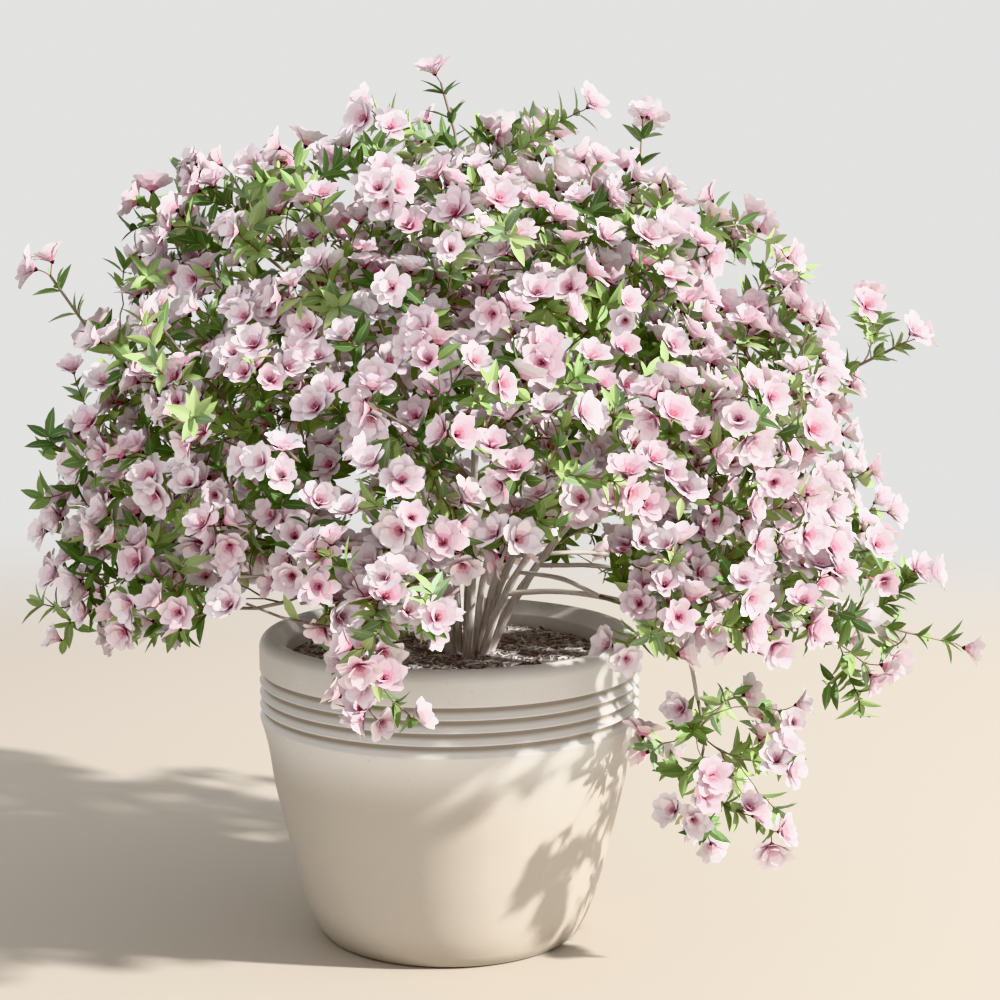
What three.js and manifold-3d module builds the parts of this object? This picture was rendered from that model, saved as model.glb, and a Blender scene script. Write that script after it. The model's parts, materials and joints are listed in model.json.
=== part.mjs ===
// Azalea shrub in bloom, rooted in a round glazed planter.
// Millimetres, +Z up. The origin is the centre of the planter's flat underside, and -Y is the front.
//
// A clump of stems rises from the soil and fans out. Each stem or side bough ends where it
// enters one mass of foliage. A mass is a main twig with side twigs, and with leaves and
// blossoms fused on. It keeps to its own cone of the crown, so no two masses touch.

import * as THREE from "three";
import * as BufferGeometryUtils from "three/addons/utils/BufferGeometryUtils.js";
import Module from "manifold-3d";

const wasm = await Module();
wasm.setup();

const CLEARANCE = 0.3;

// Planter
const POT_RADIUS = 200;
const POT_HEIGHT = 320;
const POT_FOOT_RADIUS = 135;
const POT_WALL = 15;
const POT_FLOOR = 20;
const POT_SEGMENTS = 28;
const POT_BELLY = [
  { height: 4, radius: 140 },
  { height: 28, radius: 151.5 },
  { height: 74, radius: 165 },
  { height: 118, radius: 175.5 },
  { height: 162, radius: 185.5 },
  { height: 206, radius: 192.5 },
];
const BELLY_STEPS = 6;
const FLUTE_COUNT = 4;
const FLUTE_PITCH = 12.8;
const FLUTE_BOTTOM = 234;
const FLUTE_DEPTH = 4;
const FLUTE_FACETS = [0.3, 0.7];
const RIM_EASE = 0.3;
const RIM_CREST = 12;
const COLLAR_LIP_RADIUS = 171;
const COLLAR_LIP_HEIGHT = 308;
const SOIL_TOP = 298;
const SOIL_FLAT_RADIUS = 90;
const SOIL_FALL = 4;

// Crown: a mound about the hub, which is the point that the stems fan out from
const HUB = new THREE.Vector3(27, 0, 400);
const CROWN_HALF = new THREE.Vector3(452, 415, 470);
const SHOULDER_POWER = 2.8;
const SHOULDER_FULL = 0.6;
const CORE_REACH = 190;
const SKIRT_LEVEL = 296;
const RIGHT_SKIRT_LEVEL = 228;
const RIGHT_SKIRT_FROM = 385;
const FRONT_RISE = 0.19;
const LEFT_FRONT_RISE = 0.26;
const BACK_RISE = 0.13;
const RIM_FALL_FROM = -115;
const RIM_FALL_TO = 65;
const POT_GUARD = 16;

// Rings of foliage masses, in degrees seen from the hub. Azimuth 0 is +X and azimuth -90 is the
// front. The lower ring leaves an opening at the front, where the stems and the soil show.
const OPENING_AZIMUTH = -80;
const OPENING_WIDTH = 22;
const LOWER_COUNT = 9;
const LOWER_ELEVATION = -5;
const LOWER_STEP = (360 - OPENING_WIDTH) / LOWER_COUNT;
const LOWER_FIRST = OPENING_AZIMUTH + (OPENING_WIDTH + LOWER_STEP) / 2;
const RINGS = [
  { name: "top", count: 1, elevation: 89, first: 0, step: 360, footRing: 0, tuck: 0, footRadius: 3.7 },
  { name: "upper", count: 5, elevation: 57, first: -54, step: 72, footRing: 12, tuck: 11, footRadius: 4 },
  { name: "middle", count: 8, elevation: 25, first: -90, step: 45, footRing: 24, tuck: 24, footRadius: 4.9 },
  { name: "lower", count: LOWER_COUNT, elevation: LOWER_ELEVATION, first: LOWER_FIRST, step: LOWER_STEP },
];

// Long shoots that reach past the mound's outline: angle about the hub in the front view, and reach
const SHOOTS = [
  { angle: 145, reach: 514 },
  { angle: 123, reach: 474 },
  { angle: 117, reach: 452 },
  { angle: 102, reach: 462 },
  { angle: 94, reach: 488 },
  { angle: 77, reach: 470 },
  { angle: 68, reach: 480 },
  { angle: 33, reach: 470 },
  { angle: 27, reach: 496 },
  { angle: -1, reach: 440 },
  { angle: -9, reach: 494 },
  { angle: -21.5, reach: 422 },
  { angle: 195, reach: 396 },
];
const SHOOT_DEPTH = 90;
const SHOOT_SLACK = 1.25;

// Trailing spray that hangs over the rim at the front right, and the route of its bough
const TRAIL_CENTRE = new THREE.Vector3(283, -115, 209);
const TRAIL_RADIUS = 106;
const TRAIL_SHELF = 290;
const TRAIL_FILL = 0.8;
const TRAIL_FORK = 0.3;
const TRAIL_FOOT_RADIUS = 3;
const TRAIL_TIP_RADIUS = 1.9;
const TRAIL_ROUTE = [
  new THREE.Vector3(125, -62, 372),
  new THREE.Vector3(205, -96, 356),
  new THREE.Vector3(238, -110, 318),
  new THREE.Vector3(250, -113, 270),
];

// Stems and side boughs
const LIMB_SIDES = 6;
const STEM_STEPS = 6;
const STEM_FLARE = 1.12;
const FLARE_FADE = 14;
const STEM_RADIUS_RANGE = [0.84, 1.06];
const STEM_TIP_RADIUS = 2.6;
const STEM_RISE = 0.36;
const STEM_SWAY = 5;
const CLUMP = new THREE.Vector3(18, 0, SOIL_TOP);
const BOUGH_STEPS = 4;
const BOUGH_TIP_RADIUS = 2.1;
const BOUGH_SHARE = 0.64;
const BOUGH_ARCH = 5;
const BOUGH_FORKS = [0.42, 0.58];
const TRAIL_STEPS = 9;
const LEAD_IN = 55;

// Twigs
const TWIG_SIDES = 3;
const TWIG_THINNEST = 0.75;
const TWIG_TAPER = 0.55;
const TWIG_BOW = 0.16;
const TWIG_STEPS = 2;
const MAIN_AHEAD = 0.6;
const FORK_SHARE = 0.55;
const FORK_BEND = 0.5;
const FORK_PATH = 0.35;
const MAIN_FORKS = [0.14, 0.24, 0.34, 0.44, 0.56, 0.66, 0.76, 0.86];
const SIDE_FORKS = [0.36, 0.64, 0.82];
const LIMB_GUARD = 2;

// Where the ends of the twigs may lie
const TARGET_SPREAD = 0.42;
const TARGET_SHELL = [0.62, 0.94];
const TARGET_BIAS = 0.6;
const TARGET_REACH = 1.01;

// Blossoms and leaves, fewer and larger than life
const TIPS_PER_MASS = 5;
const PLACING_TRIES = 10;
const SPREAD_TRIES = 40;
const PETALS = 5;
const BLOSSOM_RADIUS = 42;
const BLOSSOM_HEIGHT = 20;
const BLOSSOM_HEART = 9;
const BLOSSOM_SEAT = 7;
const BLOSSOM_SIZES = [0.86, 1.06];
const SIDE_ROOM = 0.8 * BLOSSOM_RADIUS;
const SKIRT_ROOM = 0.45 * BLOSSOM_RADIUS;
const FACING_OUT = 0.9;
const FACING_CHANCE = 0.45;
const FACING_LIGHT = new THREE.Vector3(0, -0.15, 0.3);
const CLUSTER_SIZE = 3;
const CLUSTER_SPREAD = 1.15 * BLOSSOM_RADIUS;
const CLUSTER_DROP = 0.25 * BLOSSOM_RADIUS;
const MATE_TURNS = [1.6, 2.6];
const MATE_LEAN = 0.55;
const LEAVES_PER_TIP = 0.7;
const LEAF_LENGTH = 74;
const LEAF_WIDTH = 25;
const LEAF_THICKNESS = 2.2;
const LEAF_SIZES = [0.75, 1.1];
const LEAF_PLACES = [0.6, 0.86];
const LEAF_FORWARD = 0.55;
const LEAF_LIFT = 0.25;
const LEAF_ROLL = 0.5;
const LEAF_WAIST = 0.44;

const finish = (color, roughness) => new THREE.MeshStandardMaterial({ color, roughness, metalness: 0 });
const glaze = finish(0xd9d4ca, 0.35);
const mulch = finish(0x40372f, 0.95);
const bark = finish(0x6e6255, 0.85);
const bloom = finish(0xdcb4c2, 0.7);

const UP = new THREE.Vector3(0, 0, 1);
const radians = THREE.MathUtils.degToRad;
const lerp = THREE.MathUtils.lerp;

// Chance: a seeded generator, so that the same plant grows every time
class Chance {
  constructor(seed) {
    this.state = seed * 7919 + 101;
    for (let i = 0; i < 4; i++) this.next();
  }

  next() {
    this.state = (this.state * 1664525 + 1013904223) % 4294967296;
    return this.state / 4294967296;
  }

  between(low, high) {
    return lerp(low, high, this.next());
  }

  direction() {
    const up = this.between(-1, 1);
    const turn = this.between(0, 2 * Math.PI);
    const flat = Math.sqrt(1 - up * up);
    return new THREE.Vector3(flat * Math.cos(turn), flat * Math.sin(turn), up);
  }
}

// Solids

function toSolid(geometry) {
  const bare = geometry.clone();
  bare.deleteAttribute("normal");
  bare.deleteAttribute("uv");
  const merged = BufferGeometryUtils.mergeVertices(bare, 1e-4);
  const vertProperties = Float32Array.from(merged.attributes.position.array);
  const triVerts = Uint32Array.from(merged.index.array);
  return new wasm.Manifold(new wasm.Mesh({ numProp: 3, vertProperties, triVerts }));
}

function toGeometry(solid) {
  const mesh = solid.getMesh();
  const geometry = new THREE.BufferGeometry();
  geometry.setAttribute("position", new THREE.BufferAttribute(mesh.vertProperties, 3));
  geometry.setIndex(new THREE.BufferAttribute(mesh.triVerts, 1));
  geometry.computeVertexNormals();
  return geometry;
}

// The largest of a solid's bodies, without loose scraps and sealed hollows
function largestBody(solid) {
  return solid.decompose().sort((a, b) => b.volume() - a.volume())[0];
}

// A round limb: a cylinder whose rings follow a curve, with a radius for each share of its length
function limbGeometry(curve, radiusAt, sides, steps) {
  const geometry = new THREE.CylinderGeometry(1, 1, 1, sides, steps);
  const frames = curve.computeFrenetFrames(steps, false);
  const position = geometry.attributes.position;
  for (let i = 0; i < position.count; i++) {
    const share = position.getY(i) + 0.5;
    const ring = Math.round(share * steps);
    const radius = radiusAt(share);
    const point = curve.getPointAt(share);
    point.addScaledVector(frames.normals[ring], position.getX(i) * radius);
    point.addScaledVector(frames.binormals[ring], -position.getZ(i) * radius);
    position.setXYZ(i, point.x, point.y, point.z);
  }
  return geometry;
}

// Flattens the foot of a stem to the level that it stands on
function levelFoot(geometry, level) {
  const position = geometry.attributes.position;
  for (let i = 0; i < position.count; i++) {
    if (position.getZ(i) < level + STEM_SWAY) position.setZ(i, level);
  }
  return geometry;
}

function latheSolid(profile) {
  const points = profile.map(([radius, height]) => new THREE.Vector2(radius, height));
  return new THREE.LatheGeometry(points, POT_SEGMENTS).rotateX(Math.PI / 2);
}

// Planter: the profile runs from the underside up the outside, over the rim and down inside
function planterGeometry() {
  const belly = POT_BELLY.map(({ height, radius }) => new THREE.Vector2(radius, height));
  belly.push(new THREE.Vector2(POT_RADIUS, FLUTE_BOTTOM));
  const profile = [[0, 0], [POT_FOOT_RADIUS, 0]];
  profile.push(...new THREE.SplineCurve(belly).getPoints(BELLY_STEPS).map((point) => point.toArray()));
  for (let flute = 0; flute < FLUTE_COUNT; flute++) {
    const bottom = FLUTE_BOTTOM + flute * FLUTE_PITCH;
    profile.push(...FLUTE_FACETS.map((share) => [POT_RADIUS - FLUTE_DEPTH, bottom + share * FLUTE_PITCH]));
    profile.push([POT_RADIUS, bottom + FLUTE_PITCH]);
  }
  profile.push([POT_RADIUS, POT_HEIGHT - RIM_CREST]);
  profile.push([POT_RADIUS - RIM_EASE * RIM_CREST, POT_HEIGHT - RIM_EASE * RIM_CREST]);
  profile.push([POT_RADIUS - RIM_CREST, POT_HEIGHT]);
  profile.push([COLLAR_LIP_RADIUS, COLLAR_LIP_HEIGHT]);
  profile.push(...potInside(0), [0, POT_FLOOR]);
  return latheSolid(profile);
}

// The inner wall from under the lip down to the floor, drawn in by a gap. It follows every second
// knot of the belly, and is nowhere wider than the lip.
function potInside(gap) {
  const belly = POT_BELLY.filter(({ height }, i) => height > POT_FLOOR && i % 2 === 0).reverse();
  return [
    [COLLAR_LIP_RADIUS - gap, SOIL_TOP - POT_WALL],
    ...belly.map(({ height, radius }) => [Math.min(radius - POT_WALL, COLLAR_LIP_RADIUS) - gap, height]),
    [POT_FOOT_RADIUS - POT_WALL - gap, POT_FLOOR + gap],
  ];
}

// Soil: it fills the planter, and falls a little towards the wall
function soilGeometry() {
  const wall = potInside(2 * CLEARANCE).reverse();
  const edge = [COLLAR_LIP_RADIUS - 2 * CLEARANCE, SOIL_TOP - SOIL_FALL];
  const top = [edge, [SOIL_FLAT_RADIUS, SOIL_TOP], [0, SOIL_TOP]];
  return latheSolid([[0, POT_FLOOR + 2 * CLEARANCE], ...wall, ...top]);
}

// Cells: each mass owns a cone of the crown, cut by planes halfway to its neighbours

function fromAngles(azimuth, elevation) {
  const a = radians(azimuth);
  const e = radians(elevation);
  return new THREE.Vector3(Math.cos(e) * Math.cos(a), Math.cos(e) * Math.sin(a), Math.sin(e));
}

const opening = { axis: fromAngles(OPENING_AZIMUTH, LOWER_ELEVATION) };
const cells = RINGS.flatMap((ring) => Array.from({ length: ring.count }, (_, i) => {
  const azimuth = ring.first + i * ring.step;
  const name = ring.count > 1 ? `foliage_${ring.name}_${i + 1}` : `foliage_${ring.name}`;
  return { name, ring, azimuth, axis: fromAngles(azimuth, ring.elevation), shoots: [] };
}));

// How far a point lies inside the planes between a cell and its neighbours
function sideMargin(cell, point) {
  const out = point.clone().sub(HUB);
  const margins = [...cells, opening].filter((other) => other !== cell).map((other) => {
    return cell.axis.clone().sub(other.axis).normalize().dot(out);
  });
  return Math.min(...margins);
}

// The crown's lower edge is lowest at its sides, and rises towards its front and its back, but a
// few sprays fall over the rim at the front
function skirtLevel(point) {
  const level = point.x > RIGHT_SKIRT_FROM ? RIGHT_SKIRT_LEVEL : SKIRT_LEVEL;
  if (point.y > 0) return level + BACK_RISE * point.y;
  if (point.x > RIM_FALL_FROM && point.x < RIM_FALL_TO) return level;
  return level - (point.x < 0 ? LEFT_FRONT_RISE : FRONT_RISE) * point.y;
}

// How far out from the hub, as a share of the crown's reach. The crown is an ellipsoid, but its
// front view is squarer towards the left: the power of the sum rises there
function crownReach(out) {
  const leftward = Math.max(0, Math.min(1, -out.x / (SHOULDER_FULL * out.length())));
  const power = lerp(2, SHOULDER_POWER, leftward);
  const share = out.clone().divide(CROWN_HALF);
  const facing = Math.pow(Math.abs(share.x) ** power + Math.abs(share.z) ** power, 1 / power);
  return Math.hypot(facing, share.y);
}

function clearOfPot(point) {
  return Math.hypot(point.x, point.y) > POT_RADIUS + POT_GUARD || point.z > POT_HEIGHT + POT_GUARD;
}

// Inside a cell: past the core, within a share of the crown's reach, above the skirt, off the pot
function insideCell(cell, point, reachShare) {
  if (cell.centre) return point.distanceTo(cell.centre) < TRAIL_RADIUS && point.z < TRAIL_SHELF;
  const out = point.clone().sub(HUB);
  const reach = crownReach(out);
  const inCone = sideMargin(cell, point) > CLEARANCE && out.dot(cell.axis) > CORE_REACH;
  return inCone && reach < reachShare && point.z > skirtLevel(point) && clearOfPot(point);
}

function insideWhole(cell, geometry, reachShare) {
  const position = geometry.attributes.position;
  const point = new THREE.Vector3();
  for (let i = 0; i < position.count; i++) {
    if (!insideCell(cell, point.fromBufferAttribute(position, i), reachShare)) return false;
  }
  return true;
}

// Shoots: each goes to the cell, and to the depth in it, where its tip has the most room
for (const { angle, reach } of SHOOTS) {
  const a = radians(angle);
  let best = { margin: -Infinity };
  for (const cell of cells) {
    for (let depth = -SHOOT_DEPTH; depth <= SHOOT_DEPTH; depth += SHOOT_DEPTH / 6) {
      const point = new THREE.Vector3(reach * Math.cos(a), depth, reach * Math.sin(a)).add(HUB);
      const margin = sideMargin(cell, point);
      if (margin > best.margin) best = { margin, cell, point };
    }
  }
  best.cell.shoots.push(best.point);
}

// Limbs: stems from the soil, and boughs that leave a stem part of the way up

const limbs = [];

function addLimb({ name, curve, footRadius, tipRadius, steps, flare = 1, parent = null }) {
  const flareAt = (share) => lerp(1, flare, Math.exp(-FLARE_FADE * share));
  const radiusAt = (share) => lerp(footRadius, tipRadius, share) * flareAt(share);
  const count = Math.ceil(curve.getLength() / (2 * footRadius));
  const samples = Array.from({ length: count + 1 }, (_, i) => {
    return { point: curve.getPointAt(i / count), radius: radiusAt(i / count) };
  });
  const entry = { name, curve, radiusAt, steps, samples, tipRadius, parent };
  limbs.push(entry);
  return entry;
}

function massEntry(cell, back) {
  return HUB.clone().addScaledVector(cell.axis, CORE_REACH - CLEARANCE - back);
}

function stemTo(cell, index) {
  const chance = new Chance(100 + index);
  const { footRing, tuck } = cell.ring;
  const outward = fromAngles(cell.azimuth, 0);
  const foot = CLUMP.clone().addScaledVector(outward, footRing).setZ(SOIL_TOP + CLEARANCE);
  const rise = foot.clone().lerp(massEntry(cell, 0), STEM_RISE).addScaledVector(outward, -tuck);
  rise.addScaledVector(chance.direction(), footRing > 0 ? STEM_SWAY : 0);
  const curve = new THREE.CatmullRomCurve3([foot, rise, massEntry(cell, LEAD_IN), massEntry(cell, 0)]);
  return addLimb({
    name: `main_stem_${index}`,
    curve,
    footRadius: cell.ring.footRadius * chance.between(...STEM_RADIUS_RANGE),
    tipRadius: STEM_TIP_RADIUS,
    steps: STEM_STEPS,
    flare: STEM_FLARE,
  });
}

function boughTo(cell, index, parent, forkShare) {
  const fork = parent.curve.getPointAt(forkShare);
  const arch = massEntry(cell, LEAD_IN).addScaledVector(UP, BOUGH_ARCH);
  return addLimb({
    name: `side_bough_${index}`,
    curve: new THREE.CatmullRomCurve3([fork, arch, massEntry(cell, 0)]),
    footRadius: BOUGH_SHARE * parent.radiusAt(forkShare),
    tipRadius: BOUGH_TIP_RADIUS,
    steps: BOUGH_STEPS,
    parent,
  });
}

function azimuthGap(a, b) {
  return Math.abs(THREE.MathUtils.euclideanModulo(a - b + 180, 360) - 180);
}

const rooted = cells.filter((cell) => cell.ring.name !== "lower");
rooted.forEach((cell, i) => {
  cell.limb = stemTo(cell, i + 1);
});

// Every lower mass hangs on the middle stem whose azimuth is nearest; a second one forks higher up
const middle = cells.filter((cell) => cell.ring.name === "middle");
const forksTaken = new Map(middle.map((cell) => [cell, 0]));
cells.filter((cell) => cell.ring.name === "lower").forEach((cell, i) => {
  const gapTo = (other) => azimuthGap(other.azimuth, cell.azimuth);
  const carrier = middle.reduce((best, other) => (gapTo(other) < gapTo(best) ? other : best));
  const taken = forksTaken.get(carrier);
  cell.limb = boughTo(cell, i + 1, carrier.limb, BOUGH_FORKS[taken]);
  forksTaken.set(carrier, taken + 1);
});

const trailParent = middle[1].limb;
const trailCurve = new THREE.CatmullRomCurve3([trailParent.curve.getPointAt(TRAIL_FORK), ...TRAIL_ROUTE]);
const trailCell = { name: "foliage_trailing", centre: TRAIL_CENTRE, shoots: [] };
trailCell.limb = addLimb({
  name: "trailing_bough",
  curve: trailCurve,
  footRadius: TRAIL_FOOT_RADIUS,
  tipRadius: TRAIL_TIP_RADIUS,
  steps: TRAIL_STEPS,
  parent: trailParent,
});

// A bough's foot is hollowed to the stem that it leaves
function limbSolid(entry) {
  const geometry = limbGeometry(entry.curve, entry.radiusAt, LIMB_SIDES, entry.steps);
  if (!entry.parent) return toSolid(levelFoot(geometry, SOIL_TOP + CLEARANCE));
  const { curve, radiusAt, steps } = entry.parent;
  const seat = limbGeometry(curve, (share) => radiusAt(share) + 1.3 * CLEARANCE, LIMB_SIDES, steps);
  return largestBody(toSolid(geometry).subtract(toSolid(seat)));
}

// Whether a round-ended stretch comes too near any limb but its own
function nearLimb(from, to, radius, own = null) {
  const line = new THREE.Line3(from, to);
  const nearest = new THREE.Vector3();
  return limbs.some((entry) => entry !== own && entry.samples.some((sample) => {
    line.closestPointToPoint(sample.point, true, nearest);
    return nearest.distanceTo(sample.point) < radius + sample.radius + LIMB_GUARD;
  }));
}

// Blossom: a cup with a corner for each petal. The seat is a point inside one of its faces.
function blossomGeometry(seat, facing, chance) {
  const size = chance.between(...BLOSSOM_SIZES);
  const geometry = new THREE.ConeGeometry(BLOSSOM_RADIUS * size, BLOSSOM_HEIGHT * size, PETALS, 1);
  const position = geometry.attributes.position;
  for (let i = 0; i < position.count; i++) {
    const height = BLOSSOM_HEIGHT * size / 2 - position.getY(i);
    const isHeart = height > 1 && Math.hypot(position.getX(i), position.getZ(i)) < 1;
    position.setXYZ(i, position.getX(i), isHeart ? BLOSSOM_HEART : height, -position.getZ(i));
  }
  const midFace = Math.PI / PETALS;
  const sunk = -0.9 * BLOSSOM_HEART;
  geometry.translate(-BLOSSOM_SEAT * Math.sin(midFace), sunk, BLOSSOM_SEAT * Math.cos(midFace));
  geometry.applyQuaternion(new THREE.Quaternion().setFromUnitVectors(new THREE.Vector3(0, 1, 0), facing));
  return geometry.translate(seat.x, seat.y, seat.z);
}

// Cluster: one blossom on the twig's end, and others beside it whose petals run into the first
function clusterOn(cell, target, heading, reachShare, mates, chance) {
  const outward = target.clone().sub(cell.centre ?? HUB).normalize();
  for (let k = 0; k < PLACING_TRIES; k++) {
    const facing = heading.clone().addScaledVector(outward, FACING_OUT);
    facing.addScaledVector(chance.direction(), FACING_CHANCE).add(FACING_LIGHT).normalize();
    const first = blossomGeometry(target, facing, chance);
    if (!insideWhole(cell, first, reachShare)) continue;
    const blossoms = [first];
    const side = facing.clone().cross(chance.direction()).normalize();
    for (let mate = 0; mate < mates; mate++) {
      side.applyAxisAngle(facing, chance.between(...MATE_TURNS));
      const seat = target.clone().addScaledVector(side, CLUSTER_SPREAD);
      seat.addScaledVector(facing, -CLUSTER_DROP);
      const turned = facing.clone().addScaledVector(side, MATE_LEAN).normalize();
      const beside = blossomGeometry(seat, turned, chance);
      const free = insideWhole(cell, beside, reachShare) && !nearLimb(seat, seat, BLOSSOM_RADIUS);
      if (free) blossoms.push(beside);
    }
    return blossoms;
  }
  return [];
}

// Leaf: a lance-shaped lozenge of eight faces, with its root on the twig's axis
function leafOn(path, share, chance) {
  const length = LEAF_LENGTH * chance.between(...LEAF_SIZES);
  const heading = path.getTangentAt(share);
  const aside = chance.direction().cross(heading).normalize();
  const way = heading.clone().multiplyScalar(LEAF_FORWARD).add(aside);
  way.addScaledVector(UP, LEAF_LIFT).normalize();
  const across = way.clone().cross(UP).addScaledVector(aside.clone().cross(heading), LEAF_ROLL);
  across.addScaledVector(way, -across.dot(way)).normalize();
  const geometry = new THREE.OctahedronGeometry(1, 0);
  const position = geometry.attributes.position;
  for (let i = 0; i < position.count; i++) {
    const isWaist = Math.abs(position.getX(i)) < 0.5;
    const along = (isWaist ? LEAF_WAIST : (position.getX(i) + 1) / 2) * length;
    position.setXYZ(i, position.getZ(i) * LEAF_WIDTH / 2, along, position.getY(i) * LEAF_THICKNESS / 2);
  }
  const root = path.getPointAt(share);
  geometry.applyMatrix4(new THREE.Matrix4().makeBasis(across, way, across.clone().cross(way)));
  const tip = root.clone().addScaledVector(way, length);
  return { geometry: geometry.translate(root.x, root.y, root.z), root, tip };
}

// Targets: where the clusters will be, each as far as it can from the others

function crownPoint(cell, chance) {
  const direction = cell.axis.clone().addScaledVector(chance.direction(), TARGET_SPREAD).normalize();
  const shell = 1 / crownReach(direction);
  const share = lerp(...TARGET_SHELL, Math.pow(chance.next(), TARGET_BIAS));
  return HUB.clone().addScaledVector(direction, shell * share);
}

function trailPoint(chance) {
  const out = chance.direction().multiplyScalar(TRAIL_FILL * TRAIL_RADIUS * Math.cbrt(chance.next()));
  return TRAIL_CENTRE.clone().add(out);
}

function isRoomy(cell, point) {
  if (!insideCell(cell, point, 1)) return false;
  if (cell.centre) return true;
  return sideMargin(cell, point) > SIDE_ROOM && point.z - skirtLevel(point) > SKIRT_ROOM;
}

function spreadTargets(cell, chance) {
  const targets = [...cell.shoots];
  while (targets.length < TIPS_PER_MASS) {
    let best = { gap: -1 };
    for (let k = 0; k < SPREAD_TRIES; k++) {
      const point = cell.centre ? trailPoint(chance) : crownPoint(cell, chance);
      const gap = Math.min(TRAIL_RADIUS * 4, ...targets.map((other) => other.distanceTo(point)));
      if (gap > best.gap && isRoomy(cell, point)) best = { gap, point };
    }
    if (!best.point) break;
    targets.push(best.point);
  }
  return targets;
}

// Twigs

function stretches(points) {
  const path = new THREE.CurvePath();
  for (let i = 1; i < points.length; i++) path.add(new THREE.LineCurve3(points[i - 1], points[i]));
  return path;
}

// The main twig carries straight on from the bough, and halfway it turns to its target. Its two
// stretches are equally long, so that a ring lies on the turn.
function mainTwig(from, to, heading) {
  const chord = to.clone().sub(from);
  const ahead = Math.max(heading.dot(chord), MAIN_AHEAD * chord.length());
  return stretches([from, from.clone().addScaledVector(heading, chord.lengthSq() / (2 * ahead)), to]);
}

// A side twig is two equal stretches, bowed towards the way its parent grows
function sideTwig(from, to, heading) {
  const chord = to.clone().sub(from);
  const aside = heading.clone().addScaledVector(chord, -heading.dot(chord) / chord.lengthSq());
  const knee = from.clone().lerp(to, 0.5).addScaledVector(aside, TWIG_BOW * chord.length());
  return stretches([from, knee, to]);
}

// Growth: the farthest target gets the main twig. After it the nearest go first, and each side
// twig leaves the fork that costs it the least length and bend. A fork is used once.
function growMass(cell, seed) {
  const chance = new Chance(seed);
  const heading = cell.limb.curve.getTangentAt(1);
  const start = cell.limb.curve.getPointAt(1).addScaledVector(heading, CLEARANCE);
  const targets = spreadTargets(cell, chance);
  targets.sort((a, b) => a.distanceTo(start) - b.distanceTo(start));

  let forks = [{ point: start, heading, path: 0, radius: cell.limb.tipRadius }];
  const pieces = [];
  while (targets.length > 0) {
    const isMain = pieces.length === 0;
    const target = isMain ? targets.pop() : targets.shift();
    const isShoot = cell.shoots.includes(target);
    const reachShare = isShoot ? SHOOT_SLACK : TARGET_REACH;
    const cost = (fork) => {
      const way = target.clone().sub(fork.point);
      return way.length() * (1 + FORK_BEND * fork.heading.angleTo(way)) + FORK_PATH * fork.path;
    };
    const fork = forks.reduce((best, other) => (cost(other) < cost(best) ? other : best));
    const path = (isMain ? mainTwig : sideTwig)(fork.point, target, fork.heading);
    const middlePoint = path.getPointAt(0.5);
    if (nearLimb(fork.point, middlePoint, LIMB_GUARD, isMain ? cell.limb : null)) continue;
    if (nearLimb(middlePoint, target, LIMB_GUARD) || nearLimb(target, target, BLOSSOM_RADIUS)) continue;
    if (!isMain && !insideCell(cell, middlePoint, reachShare)) continue;

    const mates = isShoot ? 0 : CLUSTER_SIZE - 1;
    const blossoms = clusterOn(cell, target, path.getTangentAt(1), reachShare, mates, chance);
    if (blossoms.length === 0) continue;
    const root = isMain ? fork.radius : Math.max(TWIG_THINNEST, FORK_SHARE * fork.radius);
    const tip = Math.max(TWIG_THINNEST, TWIG_TAPER * root);
    const radiusAt = (share) => lerp(root, tip, share);
    pieces.push(limbGeometry(path, radiusAt, TWIG_SIDES, TWIG_STEPS), ...blossoms);

    const length = path.getLength();
    const fresh = (isMain ? MAIN_FORKS : SIDE_FORKS).map((share) => {
      return {
        point: path.getPointAt(share),
        heading: path.getTangentAt(share),
        path: fork.path + share * length,
        radius: radiusAt(share),
      };
    });
    forks = [...forks.filter((other) => other !== fork), ...fresh];

    const leafCount = Math.floor(LEAVES_PER_TIP + chance.next());
    for (let k = 0; k < leafCount; k++) {
      const leaf = leafOn(path, chance.between(...LEAF_PLACES), chance);
      const inside = insideWhole(cell, leaf.geometry, reachShare);
      if (inside && !nearLimb(leaf.root, leaf.tip, LEAF_WIDTH / 2)) pieces.push(leaf.geometry);
    }
  }
  return toGeometry(largestBody(wasm.Manifold.union(pieces.map(toSolid))));
}

// The object
const group = new THREE.Group();

function add(name, geometry, material) {
  const mesh = new THREE.Mesh(geometry, material);
  mesh.name = name;
  group.add(mesh);
}

add("pot", planterGeometry(), glaze);
add("soil", soilGeometry(), mulch);
limbs.forEach((entry) => add(entry.name, toGeometry(limbSolid(entry)), bark));
[...cells, trailCell].forEach((cell, i) => add(cell.name, growMass(cell, i + 1), bloom));

export default group;
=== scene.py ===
# %% [markdown]
# # An azalea in full bloom, in a round glazed planter
#
# The real thing is a garden azalea about a metre wide. A clump of grey-brown stems rises from
# bark compost and fans out into a loose mound of twigs, small lance-shaped leaves and pale pink
# blossoms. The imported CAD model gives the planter, the stems and the masses of the crown at
# their true sizes. This lesson keeps every place and reach of that frame, and makes the surfaces
# that an eye close to the plant would see.

# %% Frame and first box
import json
from types import SimpleNamespace

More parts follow.
